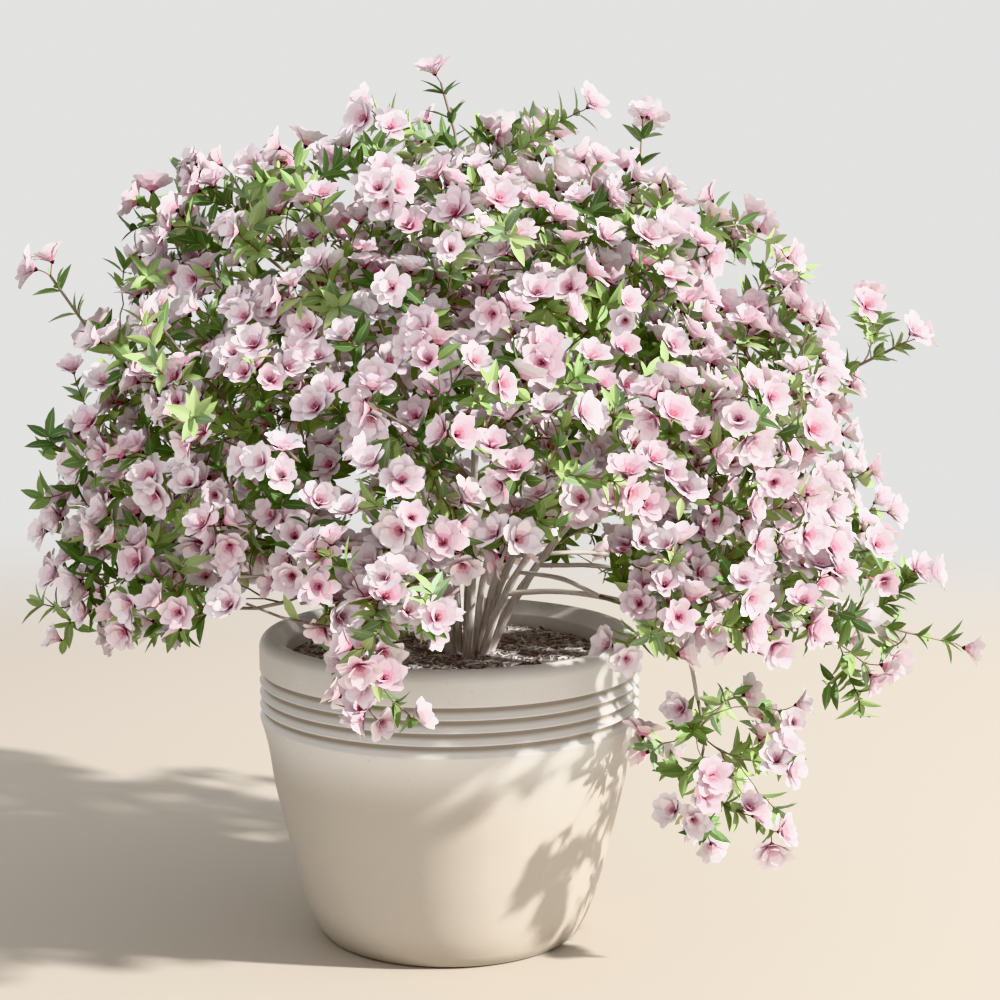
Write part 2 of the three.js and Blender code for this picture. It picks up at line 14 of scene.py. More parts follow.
import bpy
import numpy as np
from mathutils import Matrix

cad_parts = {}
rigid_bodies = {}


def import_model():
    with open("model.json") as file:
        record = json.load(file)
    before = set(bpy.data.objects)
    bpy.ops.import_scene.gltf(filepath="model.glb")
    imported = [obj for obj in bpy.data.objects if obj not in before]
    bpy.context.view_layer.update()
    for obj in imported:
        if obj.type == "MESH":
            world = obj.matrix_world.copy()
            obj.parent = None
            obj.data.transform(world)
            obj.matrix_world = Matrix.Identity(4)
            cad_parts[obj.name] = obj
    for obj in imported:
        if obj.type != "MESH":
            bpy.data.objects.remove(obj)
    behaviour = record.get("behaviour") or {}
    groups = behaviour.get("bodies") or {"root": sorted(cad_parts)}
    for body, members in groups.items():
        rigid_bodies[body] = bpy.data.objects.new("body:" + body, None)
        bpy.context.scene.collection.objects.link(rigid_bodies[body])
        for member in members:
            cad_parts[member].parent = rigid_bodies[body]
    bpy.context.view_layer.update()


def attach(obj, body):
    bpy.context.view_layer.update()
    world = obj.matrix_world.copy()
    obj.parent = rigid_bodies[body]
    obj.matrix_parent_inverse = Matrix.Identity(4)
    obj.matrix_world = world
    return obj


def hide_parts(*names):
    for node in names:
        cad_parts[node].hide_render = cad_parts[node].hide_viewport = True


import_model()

# %% [markdown]
# ## The camera
#
# The photograph looks at the planter from its front, from about chest height when sitting, and
# tilts down a little. A long lens keeps the crown from bulging. The lens and the distance come
# from how wide and how high the planter's rim and foot appear.

# %% Camera
CAMERA_PLACE = np.array([0.0, -2.20, 0.774])
CAMERA_PAN = np.radians(1.38)
CAMERA_TILT = np.radians(8.15)
CAMERA_LENS = 76.5

camera = bpy.data.objects.new("camera", bpy.data.cameras.new("camera"))
bpy.context.scene.collection.objects.link(camera)
camera.location = CAMERA_PLACE
camera.rotation_euler = (np.pi / 2 - CAMERA_TILT, 0, -CAMERA_PAN)
camera.data.lens = CAMERA_LENS
camera.data.sensor_width = 36
bpy.context.scene.camera = camera
print("camera at", CAMERA_PLACE, "with a lens of", CAMERA_LENS, "mm")

# %% [markdown]
# ## From arrays to a mesh
#
# A plant is thousands of small surfaces. Each kind is worked out once as an array of points, and
# whole arrays of copies are turned and placed together. A heap gathers them, and one call makes
# the mesh. Every face is a row of four corner numbers, and a triangle has -1 as its fourth.

# %% Arrays
def lengths(vectors):
    """The length of each vector."""
    return np.linalg.norm(vectors, axis=-1)


def unit(vectors):
    """Each vector divided by its own length."""
    return vectors / np.maximum(lengths(vectors)[..., None], 1e-12)


def polar(radius, turn, height):
    """Points at a radius and a turn about the upright axis, and at a height."""
    return np.stack(np.broadcast_arrays(radius * np.cos(turn), radius * np.sin(turn), height), axis=-1)


def blend(low, high, share):
    """The value that lies a share of the way from low to high."""
    return low + (high - low) * share


def grid_faces(rows, columns, closed=False):
    """Quads between neighbours on a grid of points. Closed joins the last column to the first."""
    width = columns if closed else columns + 1
    row, column = np.meshgrid(np.arange(rows), np.arange(columns), indexing="ij")
    here, beside = row * width + column, row * width + (column + 1) % width
    return np.stack([here, beside, beside + width, here + width], axis=-1).reshape(-1, 4)


def fan_faces(ring, tip, outward):
    """Triangles from a ring of corner numbers to one tip, turned so that they face outwards."""
    following = np.roll(ring, -1)
    first, second = (ring, following) if outward else (following, ring)
    return np.stack([first, second, np.full(len(ring), tip), np.full(len(ring), -1)], axis=-1)


class Heap:
    """Points, faces and finishes that wait to become one mesh."""

    def __init__(self):
        self.points, self.faces, self.slots = [], [], []
        self.count = 0

    def add(self, points, faces, slots=0):
        """Adds copies of a shape: points (n, m, 3), faces (k, 4) and finishes (n, k)."""
        points = points.reshape(-1, points.shape[-2], 3)
        copies, size = points.shape[:2]
        start = self.count + size * np.arange(copies)[:, None, None]
        self.points.append(points.reshape(-1, 3))
        self.faces.append(np.where(faces < 0, -1, faces + start).reshape(-1, 4))
        self.slots.append(np.broadcast_to(slots, (copies, len(faces))).reshape(-1))
        self.count += copies * size

    def to_object(self, name, finishes, grain=None):
        """Makes the mesh object, smooth-shaded, with its finishes and the grain of its bark."""
        points, faces = np.concatenate(self.points), np.concatenate(self.faces)
        totals = (faces >= 0).sum(axis=1)
        mesh = bpy.data.meshes.new(name)
        mesh.vertices.add(len(points))
        mesh.loops.add(int(totals.sum()))
        mesh.polygons.add(len(faces))
        for items, key, kind, values in (
            (mesh.vertices, "co", np.float32, points.ravel()),
            (mesh.loops, "vertex_index", np.int32, faces[faces >= 0]),
            (mesh.polygons, "loop_start", np.int32, np.cumsum(totals) - totals),
            (mesh.polygons, "loop_total", np.int32, totals),
            (mesh.polygons, "material_index", np.int32, np.concatenate(self.slots)),
            (mesh.polygons, "use_smooth", bool, np.ones(len(faces))),
        ):
            items.foreach_set(key, values.astype(kind))
        for material in finishes:
            mesh.materials.append(material)
        mesh.update(calc_edges=True)
        if grain is not None:
            layer = mesh.attributes.new("grain", "FLOAT_VECTOR", "POINT")
            layer.data.foreach_set("vector", np.vstack(grain).astype(np.float32).ravel())
        made = bpy.data.objects.new(name, mesh)
        bpy.context.scene.collection.objects.link(made)
        print(f"{name}: {len(points)} points, {int((totals - 2).sum())} triangles")
        return made


def single(name, points, faces, finish):
    """An object of one shape with one finish."""
    heap = Heap()
    heap.add(points, faces)
    return heap.to_object(name, [finish])


# %% [markdown]
# ## Materials as expressions
#
# A material is a small sum of patterns. Written as node links it's hard to read, so one class
# wraps a socket that carries a number, and adding or multiplying two of them adds the Math node.
# Colours and vectors go through their own nodes, since a Math node would turn them grey.

# %% Shader helpers
class Number:
    """A socket that carries a number, with Python's own operators."""

    def __init__(self, paint, socket):
        self.paint, self.socket = paint, socket

    def math(self, operation, *values):
        return self.paint.number("ShaderNodeMath", {"operation": operation}, dict(enumerate(values)))

    def __add__(self, other):
        return self.math("ADD", self, other)

    def __radd__(self, other):
        return self.math("ADD", other, self)

    def __sub__(self, other):
        return self.math("SUBTRACT", self, other)

    def __rsub__(self, other):
        return self.math("SUBTRACT", other, self)

    def __mul__(self, other):
        return self.math("MULTIPLY", self, other)

    def __truediv__(self, other):
        return self.math("DIVIDE", self, other)


class Paint:
    """One material, with its Principled shader and the nodes that feed it."""

    def __init__(self, name, **constants):
        self.material = bpy.data.materials.new(name)
        self.material.use_nodes = True
        self.tree = self.material.node_tree
        self.shader = self.tree.nodes["Principled BSDF"]
        for socket, value in constants.items():
            self.shader.inputs[socket.replace("_", " ")].default_value = value

    def node(self, kind, settings=None, inputs=None):
        """Adds a node: its settings first, then the values or links of its sockets."""
        made = self.tree.nodes.new(kind)
        for key, value in (settings or {}).items():
            setattr(made, key, value)
        for key, value in (inputs or {}).items():
            self.feed(made.inputs[key], value)
        return made

    def feed(self, socket, value):
        """Links a socket, or sets it where the value is plain."""
        value = value.socket if isinstance(value, Number) else value
        if isinstance(value, bpy.types.NodeSocket):
            self.tree.links.new(value, socket)
        else:
            socket.default_value = value

    def number(self, kind, settings=None, inputs=None, output=0):
        return Number(self, self.node(kind, settings, inputs).outputs[output])

    def place(self, scale=(1, 1, 1), attribute=None):
        """Object coordinates, or an attribute that follows the surface, stretched by a scale."""
        if attribute:
            source = self.node("ShaderNodeAttribute", {"attribute_name": attribute}).outputs["Vector"]
        else:
            source = self.node("ShaderNodeTexCoord").outputs["Object"]
        return self.node("ShaderNodeMapping", inputs={"Vector": source, "Scale": scale}).outputs["Vector"]

    def noise(self, vector, scale, detail=3, roughness=0.55):
        inputs = {"Vector": vector, "Scale": scale, "Detail": detail, "Roughness": roughness}
        return self.number("ShaderNodeTexNoise", inputs=inputs)

    def ramp(self, value, stops):
        """A colour ramp with three stops, each a place and a colour."""
        made = self.node("ShaderNodeValToRGB", inputs={"Fac": value})
        made.color_ramp.elements.new(0.5)
        for stop, (place, colour) in zip(made.color_ramp.elements, stops):
            stop.position = place
            stop.color = (*colour, 1)
        return made.outputs["Color"]

    def mask(self, value, low, high):
        """A number that rises smoothly from 0 at low to 1 at high."""
        inputs = {"Value": value, "From Min": low, "From Max": high}
        return self.number("ShaderNodeMapRange", {"interpolation_type": "SMOOTHSTEP"}, inputs)

    def mix(self, first, second, share):
        """The first colour where the share is 0, the second where it is 1."""
        made = self.node("ShaderNodeMix", {"data_type": "RGBA"}, {"Factor": share})
        for key, value in (("A_Color", first), ("B_Color", second)):
            socket = next(item for item in made.inputs if item.identifier == key)
            self.feed(socket, (*value, 1) if isinstance(value, tuple) else value)
        return next(item for item in made.outputs if item.identifier == "Result_Color")

    def bump(self, height, distance, strength):
        inputs = {"Height": height, "Distance": distance, "Strength": strength}
        self.feed(self.shader.inputs["Normal"], self.node("ShaderNodeBump", inputs=inputs).outputs["Normal"])

    def colour(self, value):
        self.feed(self.shader.inputs["Base Color"], value)

    def roughness(self, value):
        self.feed(self.shader.inputs["Roughness"], value)


def linear(red, green, blue):
    """A colour as seen on a screen, 0 to 255, as the light that a shader works with."""
    seen = np.array([red, green, blue]) / 255
    light = np.where(seen < 0.04045, seen / 12.92, ((seen + 0.055) / 1.055) ** 2.4)
    return tuple(float(x) for x in light)


# %% [markdown]
# ## The planter
#
# The planter is thrown or moulded as one round shell, so its outline is a profile turned about
# the upright axis. The belly is a slow curve from a narrow foot. Four hollow flutes with crisp
# ridges between them circle it under a plain band, and the rim turns over in a round. The
# heights and radii are the CAD's. Only the rings are finer here, and flutes that are straight
# facets in the CAD are true hollows.

# %% Sizes of the planter
CLEARANCE = 0.0003
POT_RADIUS = 0.200
POT_HEIGHT = 0.320
POT_FOOT_RADIUS = 0.135
POT_FOOT_ROUND = 0.005
POT_WALL = 0.015
POT_FLOOR = 0.020
POT_BELLY = np.array([[0.140, 0.004], [0.1515, 0.028], [0.165, 0.074], [0.1755, 0.118],
                      [0.1855, 0.162], [0.1925, 0.206]])
BELLY_RINGS = 26
FLUTE_COUNT = 4
FLUTE_PITCH = 0.0128
FLUTE_BOTTOM = 0.234
FLUTE_DEPTH = 0.004
FLUTE_CRISPNESS = 0.6
FLUTE_RINGS = 14
FLUTE_TOP = FLUTE_BOTTOM + FLUTE_COUNT * FLUTE_PITCH
RIM_CREST = 0.012
COLLAR_LIP_RADIUS = 0.171
COLLAR_LIP_HEIGHT = 0.308
COLLAR_LIP_ROUND = 0.004
SOIL_TOP = 0.298
SOIL_FLAT_RADIUS = 0.090
SOIL_FALL = 0.004
POT_SIDES = 144


# %% Curves through points
class Curve:
    """A centripetal Catmull-Rom curve through its knots, read by share of its length.

    Between two knots it is the cubic that passes through both, with slopes that come from the
    neighbouring knots, each weighted by the square root of the distance to it. Past each end the
    curve takes one more knot, as far beyond the end as the last stretch is long.
    """

    DIVISIONS = 200
    NUDGE = 0.0001

    def __init__(self, knots):
        knots = np.asarray(knots, dtype=float)
        self.knots = np.vstack([2 * knots[0] - knots[1], knots, 2 * knots[-1] - knots[-2]])
        self.steps = np.linspace(0, 1, self.DIVISIONS + 1)
        stretches = lengths(np.diff(self.raw(self.steps), axis=0))
        self.reached = np.concatenate([[0], np.cumsum(stretches)])
        self.length = self.reached[-1]

    def raw(self, parameter):
        """Points for parameters from 0 to 1, evenly shared out between the knots."""
        spans = len(self.knots) - 3
        place = np.clip(np.atleast_1d(parameter), 0, 1) * spans
        span = np.minimum(place.astype(int), spans - 1)
        t = (place - span)[:, None]
        p0, p1, p2, p3 = (self.knots[span + i] for i in range(4))
        pairs = ((p0, p1), (p1, p2), (p2, p3))
        d0, d1, d2 = (np.sqrt(lengths(b - a))[:, None] for a, b in pairs)
        slope1 = ((p1 - p0) / d0 - (p2 - p0) / (d0 + d1) + (p2 - p1) / d1) * d1
        slope2 = ((p2 - p1) / d1 - (p3 - p1) / (d1 + d2) + (p3 - p2) / d2) * d1
        square = (-3 * p1 + 3 * p2 - 2 * slope1 - slope2) * t**2
        return p1 + slope1 * t + square + (2 * p1 - 2 * p2 + slope1 + slope2) * t**3

    def parameter(self, share):
        return np.interp(np.atleast_1d(share) * self.length, self.reached, self.steps)

    def at(self, share):
        return self.raw(self.parameter(share))

    def heading(self, share):
        t = self.parameter(share)
        return unit(self.raw(t + self.NUDGE) - self.raw(t - self.NUDGE))


# %% The planter's mesh
def arc(centre, radius, start, end, count):
    """Points of a round from one angle to another, in degrees, as (radius, height)."""
    angle = np.radians(np.linspace(start, end, count + 1))
    return centre + radius * np.stack([np.cos(angle), np.sin(angle)], axis=-1)


def pot_inside(gap):
    """The inner wall from under the lip down to the floor, drawn in by a gap, on every second knot."""
    belly = POT_BELLY[::2][POT_BELLY[::2, 1] > POT_FLOOR][::-1]
    wall = np.minimum(belly[:, 0] - POT_WALL, COLLAR_LIP_RADIUS) - gap
    top = [[COLLAR_LIP_RADIUS - gap, SOIL_TOP - POT_WALL]]
    foot = [[POT_FOOT_RADIUS - POT_WALL - gap, POT_FLOOR + gap]]
    return np.vstack([top, np.stack([wall, belly[:, 1]], axis=-1), foot])


def flutes():
    """Each flute is one wave in radius, from a ridge in to its depth and out to the next ridge.

    The wave is half of one less the cosine of the height, raised to a power below one, which
    leaves the hollows wide and the ridges crisp.
    """
    share = np.linspace(0, FLUTE_COUNT, FLUTE_COUNT * FLUTE_RINGS + 1)
    dip = (0.5 - 0.5 * np.cos(2 * np.pi * share)) ** FLUTE_CRISPNESS
    return np.stack([POT_RADIUS - FLUTE_DEPTH * dip, FLUTE_BOTTOM + FLUTE_PITCH * share], axis=-1)


def pot_profile():
    """The whole profile: underside, foot, belly, flutes, band, crest, collar and inner wall."""
    knots = np.vstack([POT_BELLY, [[POT_RADIUS, FLUTE_BOTTOM]]])
    belly = Curve(knots).at(np.linspace(0, 0.995, BELLY_RINGS))
    foot = arc((POT_FOOT_RADIUS - 0.001, POT_FOOT_ROUND), POT_FOOT_ROUND, -90, -20, 4)
    band = [[POT_RADIUS, FLUTE_TOP + 0.002], [POT_RADIUS, POT_HEIGHT - 2 * RIM_CREST]]
    crest = arc((POT_RADIUS - RIM_CREST, POT_HEIGHT - RIM_CREST), RIM_CREST, 0, 115, 10)
    lip_centre = (COLLAR_LIP_RADIUS + COLLAR_LIP_ROUND, COLLAR_LIP_HEIGHT - 0.003)
    lip = arc(lip_centre, COLLAR_LIP_ROUND, 100, 180, 5)
    return np.vstack([foot, belly, flutes(), band, crest, lip, pot_inside(0)])


def turned(profile, sides):
    """A profile of (radius, height) turned about the upright axis, with both poles closed."""
    angle = np.linspace(0, 2 * np.pi, sides, endpoint=False)
    rings = polar(profile[:, :1], angle, profile[:, 1:])
    count = len(profile)
    poles = [[0, 0, profile[0, 1]], [0, 0, profile[-1, 1]]]
    first, last = np.arange(sides), (count - 1) * sides + np.arange(sides)
    ends = [fan_faces(first, count * sides, False), fan_faces(last, count * sides + 1, True)]
    faces = np.vstack([grid_faces(count - 1, sides, closed=True), *ends])
    return np.vstack([rings.reshape(-1, 3), poles]), faces


# %% [markdown]
# ## The glaze
#
# The glaze is a neutral off-white satin. It isn't one colour: broad clouds of a slightly creamier
# tone lie in it. In each flute a painted shade darkens the upper part, right under the ridge
# above, and a painted highlight lightens the lower part just above each ridge. Under the flutes a
# painted shade, warmed as if by light bounced from the floor, makes the glaze warmer and darker,
# and towards the foot it is a touch darker still. The surface of the clay waves very gently, so
# highlights wander. All of it reads Object coordinates, so nothing slides.

# %% Glaze
GLAZE_LIGHT = linear(226, 224, 220)
GLAZE_CREAM = linear(219, 215, 209)
# Painted shade, warm as if bounced from the floor, for the belly under the flutes.
GLAZE_PAINTED_WARM_SHADE = linear(184, 175, 162)
# Painted shade for the upper part of each flute, under the ridge above.
GLAZE_PAINTED_FLUTE_SHADE = linear(116, 102, 86)
GLAZE_DUST = linear(160, 149, 134)
# Painted highlight for the lower part of each flute, just above each ridge.
GLAZE_PAINTED_FLUTE_HIGHLIGHT = linear(240, 239, 236)


def glaze():
    paint = Paint("satin_glaze", Specular_IOR_Level=0.45, Coat_Weight=0.12, Coat_Roughness=0.3)
    around = paint.place()
    clouds = paint.mask(paint.noise(around, 5.0, 4), 0.38, 0.68)
    specks = paint.mask(paint.noise(around, 260.0, 2), 0.66, 0.74)
    height = paint.number("ShaderNodeSeparateXYZ", inputs={"Vector": around}, output="Z")
    turns = (height - FLUTE_BOTTOM) / FLUTE_PITCH
    within = turns.math("FRACT", turns)
    below_top = 1 - paint.mask(height, FLUTE_TOP - 0.001, FLUTE_TOP)
    fluted = paint.mask(height, FLUTE_BOTTOM, FLUTE_BOTTOM + 0.001) * below_top
    # Painted shade: dark in the upper part of each flute, right under the ridge above.
    painted_flute_shade = paint.mask(within, 0.24, 0.66) * (1 - paint.mask(within, 0.93, 0.98)) * fluted
    # Painted highlight: light in the lower part of each flute, just above each ridge.
    ridge = (1 - paint.mask(within, 0.16, 0.46)) * fluted
    # The glaze darkens towards the foot.
    foot = (1 - paint.mask(height + paint.noise(around, 18.0) * 0.03, 0.012, 0.06)) * 0.5
    body = paint.mix(GLAZE_LIGHT, GLAZE_CREAM, clouds)
    # Painted shade: the belly below the flutes is made warmer and darker.
    body = paint.mix(body, GLAZE_PAINTED_WARM_SHADE, (1 - paint.mask(height, 0.17, 0.236)) * 0.8)
    body = paint.mix(body, GLAZE_DUST, specks * 0.22)
    # Painted highlight laid into the flutes.
    body = paint.mix(body, GLAZE_PAINTED_FLUTE_HIGHLIGHT, ridge * 0.9)
    # Painted shade laid into the flutes.
    body = paint.mix(body, GLAZE_PAINTED_FLUTE_SHADE, painted_flute_shade * 0.8)
    paint.colour(paint.mix(body, GLAZE_DUST, foot))
    paint.roughness(0.34 + paint.noise(around, 11.0, 4) * 0.16)
    paint.bump(paint.noise(around, 9.0, 2) + paint.noise(around, 120.0, 2) * 0.03, 0.0012, 0.35)
    return paint.material


planter = single("glazed_planter", *turned(pot_profile(), POT_SIDES), glaze())
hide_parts("pot")
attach(planter, "root")

# %% [markdown]
# ## The soil
#
# The planter is filled with bark compost: a rough bed, with shreds of bark that lie flat in every
# direction, most of them a greyed purple-brown and a few bleached. The bed is a round whose height
# is a sum of a few waves, so it rolls a little. The shreds are one small wedge with nine corners,
# copied by arrays, each laid on the bed at its own turn and tilt.

# %% Bed
BED_RINGS = 60
BED_SIDES = 120


def bed_height(x, y):
    """The level of the bed: flat in the middle, lower at the wall, with three crossing waves."""
    radius = np.hypot(x, y)
    fall = np.clip((radius - SOIL_FLAT_RADIUS) / (COLLAR_LIP_RADIUS - SOIL_FLAT_RADIUS), 0, 1)
    roll = np.sin(61 * x + 23 * y) + np.sin(47 * y - 31 * x + 1.3) + 0.6 * np.sin(113 * x - 89 * y + 0.4)
    return SOIL_TOP - SOIL_FALL * fall - 0.0012 + 0.0008 * roll


def bed_surface():
    """The bed from its foot up the wall and in to the middle, with the top laid on the waves."""
    wall = pot_inside(2 * CLEARANCE)[::-1]
    edge = COLLAR_LIP_RADIUS - 2 * CLEARANCE
    inward = np.linspace(edge, edge / BED_RINGS, BED_RINGS)
    inward = np.stack([inward, np.full(BED_RINGS, SOIL_TOP)], axis=-1)
    points, faces = turned(np.vstack([wall, inward]), BED_SIDES)
    top = np.r_[len(wall) * BED_SIDES : len(points) - 2, len(points) - 1]
    points[top, 2] = bed_height(points[top, 0], points[top, 1])
    return points, faces


def compost():
    paint = Paint("compost_bed")
    around = paint.place()
    crumbs = paint.noise(around, 190.0, 6, 0.7)
    stops = [(0.35, linear(118, 108, 106)), (0.55, linear(160, 149, 146)), (0.75, linear(194, 183, 180))]
    paint.colour(paint.ramp(crumbs, stops))
    paint.roughness(0.86 + paint.noise(around, 60.0) * 0.12)
    paint.bump(crumbs, 0.003, 0.9)
    return paint.material


bed = single("compost_bed", *bed_surface(), compost())
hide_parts("soil")
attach(bed, "root")

# %% Shreds of bark
SHRED_COUNT = 2600
SHRED_LENGTHS = (0.006, 0.017)
SHRED_WIDTHS = (0.002, 0.0042)
SHRED_DEPTHS = (0.0008, 0.002)
SHRED_TINTS = [(184, 174, 172), (198, 189, 186), (211, 204, 201), (150, 139, 137), (225, 219, 216),
               (240, 237, 235)]
SHRED_SHARES = [0.28, 0.25, 0.17, 0.15, 0.10, 0.05]


def plain(name, tint, rough, **constants):
    """A plain finish of one tint: a spray gets its variety from many of these, dealt out by face."""
    return Paint(name, Base_Color=(*linear(*tint), 1), Roughness=rough, **constants).material


def plain_set(name, tints, rough, **constants):
    """Numbered plain finishes, one for each tint."""
    return [plain(f"{name}_{i}", tint, rough, **constants) for i, tint in enumerate(tints, start=1)]


def wedge():
    """A sliver of bark: three unequal triangles across it, joined along its length."""
    ends = np.array([[0, -0.5, 0], [0, 0.5, 0.0], [0, 0.1, 1.0]])
    back, middle = ends * [1, 0.7, 0.8] - [0.5, 0, 0], ends + [0.1, 0, 0]
    points = np.vstack([back, middle, ends * 0.35 + [0.5, 0.1, 0.1]])
    caps = np.array([[0, 2, 1, -1], [6, 7, 8, -1]])
    return points, np.vstack([grid_faces(2, 3, closed=True)[:, ::-1], caps])


def frames_from(along, normal):
    """Bases (n, 3, 3) whose rows are along, across and normal, each at right angles to the rest."""
    along = unit(along)
    across = unit(np.cross(normal, along))
    return np.stack([along, across, np.cross(along, across)], axis=1)


def placed(points, sizes, bases, places):
    """Copies of a shape: scaled by sizes (n, 3), turned by bases and moved to places."""
    return np.einsum("nmk,nkj->nmj", points[None] * sizes[:, None], bases) + places[:, None]


dice = np.random.default_rng(7)
shred_radius = (COLLAR_LIP_RADIUS - 0.006) * np.sqrt(dice.random(SHRED_COUNT))
shred_places = polar(shred_radius, 2 * np.pi * dice.random(SHRED_COUNT), 0)
shred_places[:, 2] = bed_height(*shred_places.T[:2]) + 0.0004 * dice.random(SHRED_COUNT)
shred_ranges = (SHRED_LENGTHS, SHRED_WIDTHS, SHRED_DEPTHS)
shred_sizes = np.stack([dice.uniform(*ends, SHRED_COUNT) for ends in shred_ranges], axis=-1)
shred_along = dice.normal(size=(SHRED_COUNT, 3)) * [1, 1, 0.14]
shred_up = np.array([0, 0, 1]) + 0.22 * dice.normal(size=(SHRED_COUNT, 3))
shred_tint = dice.choice(len(SHRED_TINTS), SHRED_COUNT, p=SHRED_SHARES)[:, None]
shred_points, shred_faces = wedge()
shred_copies = placed(shred_points, shred_sizes, frames_from(shred_along, shred_up), shred_places)
shred_heap = Heap()
shred_heap.add(shred_copies, shred_faces, shred_tint)
shreds = shred_heap.to_object("bark_shreds", plain_set("bark_shred", SHRED_TINTS, 0.85))
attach(shreds, "root")

# %% [markdown]
# ## The plan of the plant
#
# The stems fan out from a clump towards a point inside the crown, the hub. From there the crown
# is shared out in cones, one for each mass of foliage, and each cone has a stem or a side bough
# that ends where it enters it. This is the rule of the CAD model, written again with the same
# named sizes and the same seeded generator, so that every limb comes out where the CAD has it.

# %% Sizes of the crown
HUB = np.array([0.027, 0, 0.400])
CROWN_HALF = np.array([0.452, 0.415, 0.470])
SHOULDER_POWER = 2.8
SHOULDER_FULL = 0.6
CORE_REACH = 0.190
SKIRT_LEVEL = 0.296
RIGHT_SKIRT_LEVEL = 0.228
RIGHT_SKIRT_FROM = 0.385
FRONT_RISE = 0.19
LEFT_FRONT_RISE = 0.26
BACK_RISE = 0.13
RIM_FALL = (-0.115, 0.065)
RIM_VIEW_X = (-0.245, -0.125)
RIM_VIEW_FRONT = -0.06
RIM_VIEW_LEVEL = 0.412
POT_GUARD = 0.016
OPENING_AZIMUTH = -80
OPENING_WIDTH = 22
LOWER_COUNT = 9
LOWER_ELEVATION = -5
LOWER_STEP = (360 - OPENING_WIDTH) / LOWER_COUNT
LOWER_FIRST = OPENING_AZIMUTH + (OPENING_WIDTH + LOWER_STEP) / 2
RINGS = [
    SimpleNamespace(name="top", count=1, elevation=89, first=0, step=360,
                    foot_ring=0, tuck=0, foot_radius=0.0037),
    SimpleNamespace(name="upper", count=5, elevation=57, first=-54, step=72,
                    foot_ring=0.012, tuck=0.011, foot_radius=0.004),
    SimpleNamespace(name="middle", count=8, elevation=25, first=-90, step=45,
                    foot_ring=0.024, tuck=0.024, foot_radius=0.0049),
    SimpleNamespace(name="lower", count=LOWER_COUNT, elevation=LOWER_ELEVATION,
                    first=LOWER_FIRST, step=LOWER_STEP),
]
SHOOTS = [(145, 0.514), (123, 0.474), (117, 0.452), (102, 0.462), (94, 0.488), (77, 0.470), (68, 0.480),
          (33, 0.470), (27, 0.496), (-1, 0.440), (-9, 0.494), (-21.5, 0.422), (195, 0.396)]
SHOOT_DEPTHS = np.linspace(-0.090, 0.090, 13)
SHOOT_SLACK = 1.25
TRAIL_CENTRE = np.array([0.283, -0.115, 0.209])
TRAIL_RADIUS = 0.106
TRAIL_SHELF = 0.290
TRAIL_FILL = 0.8
TRAIL_FORK = 0.3
TRAIL_FOOT_RADIUS = 0.003
TRAIL_TIP_RADIUS = 0.0019
TRAIL_ROUTE = [[0.125, -0.062, 0.372], [0.205, -0.096, 0.356], [0.238, -0.110, 0.318], [0.250, -0.113, 0.270]]
CLUMP = np.array([0.018, 0, SOIL_TOP])
STEM_FLARE = 1.12
STEM_TIP_RADIUS = 0.0026
STEM_RISE = 0.36
STEM_SWAY = 0.005
BOUGH_TIP_RADIUS = 0.0021
BOUGH_SHARE = 0.64
BOUGH_ARCH = 0.005
BOUGH_FORKS = [0.42, 0.58]
LEAD_IN = 0.055
LIMB_GUARD = 0.002
UP = np.array([0, 0, 1.0])


# %% Chance
class Chance:
    """A seeded generator: the next state is 1664525 times the last plus 1013904223, modulo 2^32."""

    def __init__(self, seed):
        self.state = seed * 7919 + 101
        for _ in range(4):
            self.next()

    def next(self):
        self.state = (self.state * 1664525 + 1013904223) % 4294967296
        return self.state / 4294967296

    def between(self, low, high):
        return blend(low, high, self.next())

    def direction(self):
        """A direction with an even chance over the sphere: an even height, and an even turn."""
        up = self.between(-1, 1)
        turn = self.between(0, 2 * np.pi)
        return polar(np.sqrt(1 - up * up), turn, up)


# %% Cells of the crown
def from_angles(azimuth, elevation):
    lift = np.radians(elevation)
    return polar(np.cos(lift), np.radians(azimuth), np.sin(lift))


def cells_of(ring):
    for i in range(ring.count):
        azimuth = ring.first + i * ring.step
        name = f"foliage_{ring.name}_{i + 1}" if ring.count > 1 else f"foliage_{ring.name}"
        axis = from_angles(azimuth, ring.elevation)
        yield SimpleNamespace(name=name, ring=ring, azimuth=azimuth, axis=axis, shoots=[], centre=None)


opening_axis = from_angles(OPENING_AZIMUTH, LOWER_ELEVATION)
cells = [cell for ring in RINGS for cell in cells_of(ring)]
for cell in cells:
    others = [other.axis for other in cells if other is not cell] + [opening_axis]
    cell.planes = unit(cell.axis - np.array(others))


def side_margin(cell, points):
    """How far points lie inside the planes between a cell and its neighbours."""
    return ((points - HUB) @ cell.planes.T).min(axis=-1)


def skirt_level(points):
    """The crown's lower edge: it rises to front and back, but a few sprays fall over the rim."""
    x, y = points[..., 0], points[..., 1]
    level = np.where(x > RIGHT_SKIRT_FROM, RIGHT_SKIRT_LEVEL, SKIRT_LEVEL)
    is_over_rim = (x > RIM_FALL[0]) & (x < RIM_FALL[1])
    front = np.where(is_over_rim, 0, np.where(x < 0, LEFT_FRONT_RISE, FRONT_RISE))
    return level + np.where(y > 0, BACK_RISE * y, -front * y)


def shows_rim(points):
    """In front of the planter's left rim, where the crown keeps open and lets the rim be seen."""
    x, y, z = np.moveaxis(points, -1, 0)
    return (x > RIM_VIEW_X[0]) & (x < RIM_VIEW_X[1]) & (y < RIM_VIEW_FRONT) & (z < RIM_VIEW_LEVEL)


def crown_reach(out):
    """How far out from the hub, as a share of the crown's reach.

    The crown is an ellipsoid, but its front view is squarer towards the left, where the power
    that the shares along x and z are raised to before they are added goes from 2 up to nearly 3.
    """
    leftward = np.clip(-out[..., 0] / (SHOULDER_FULL * lengths(out)), 0, 1)
    power = blend(2, SHOULDER_POWER, leftward)
    share = np.abs(out / CROWN_HALF)
    facing = (share[..., 0] ** power + share[..., 2] ** power) ** (1 / power)
    return np.hypot(facing, share[..., 1])


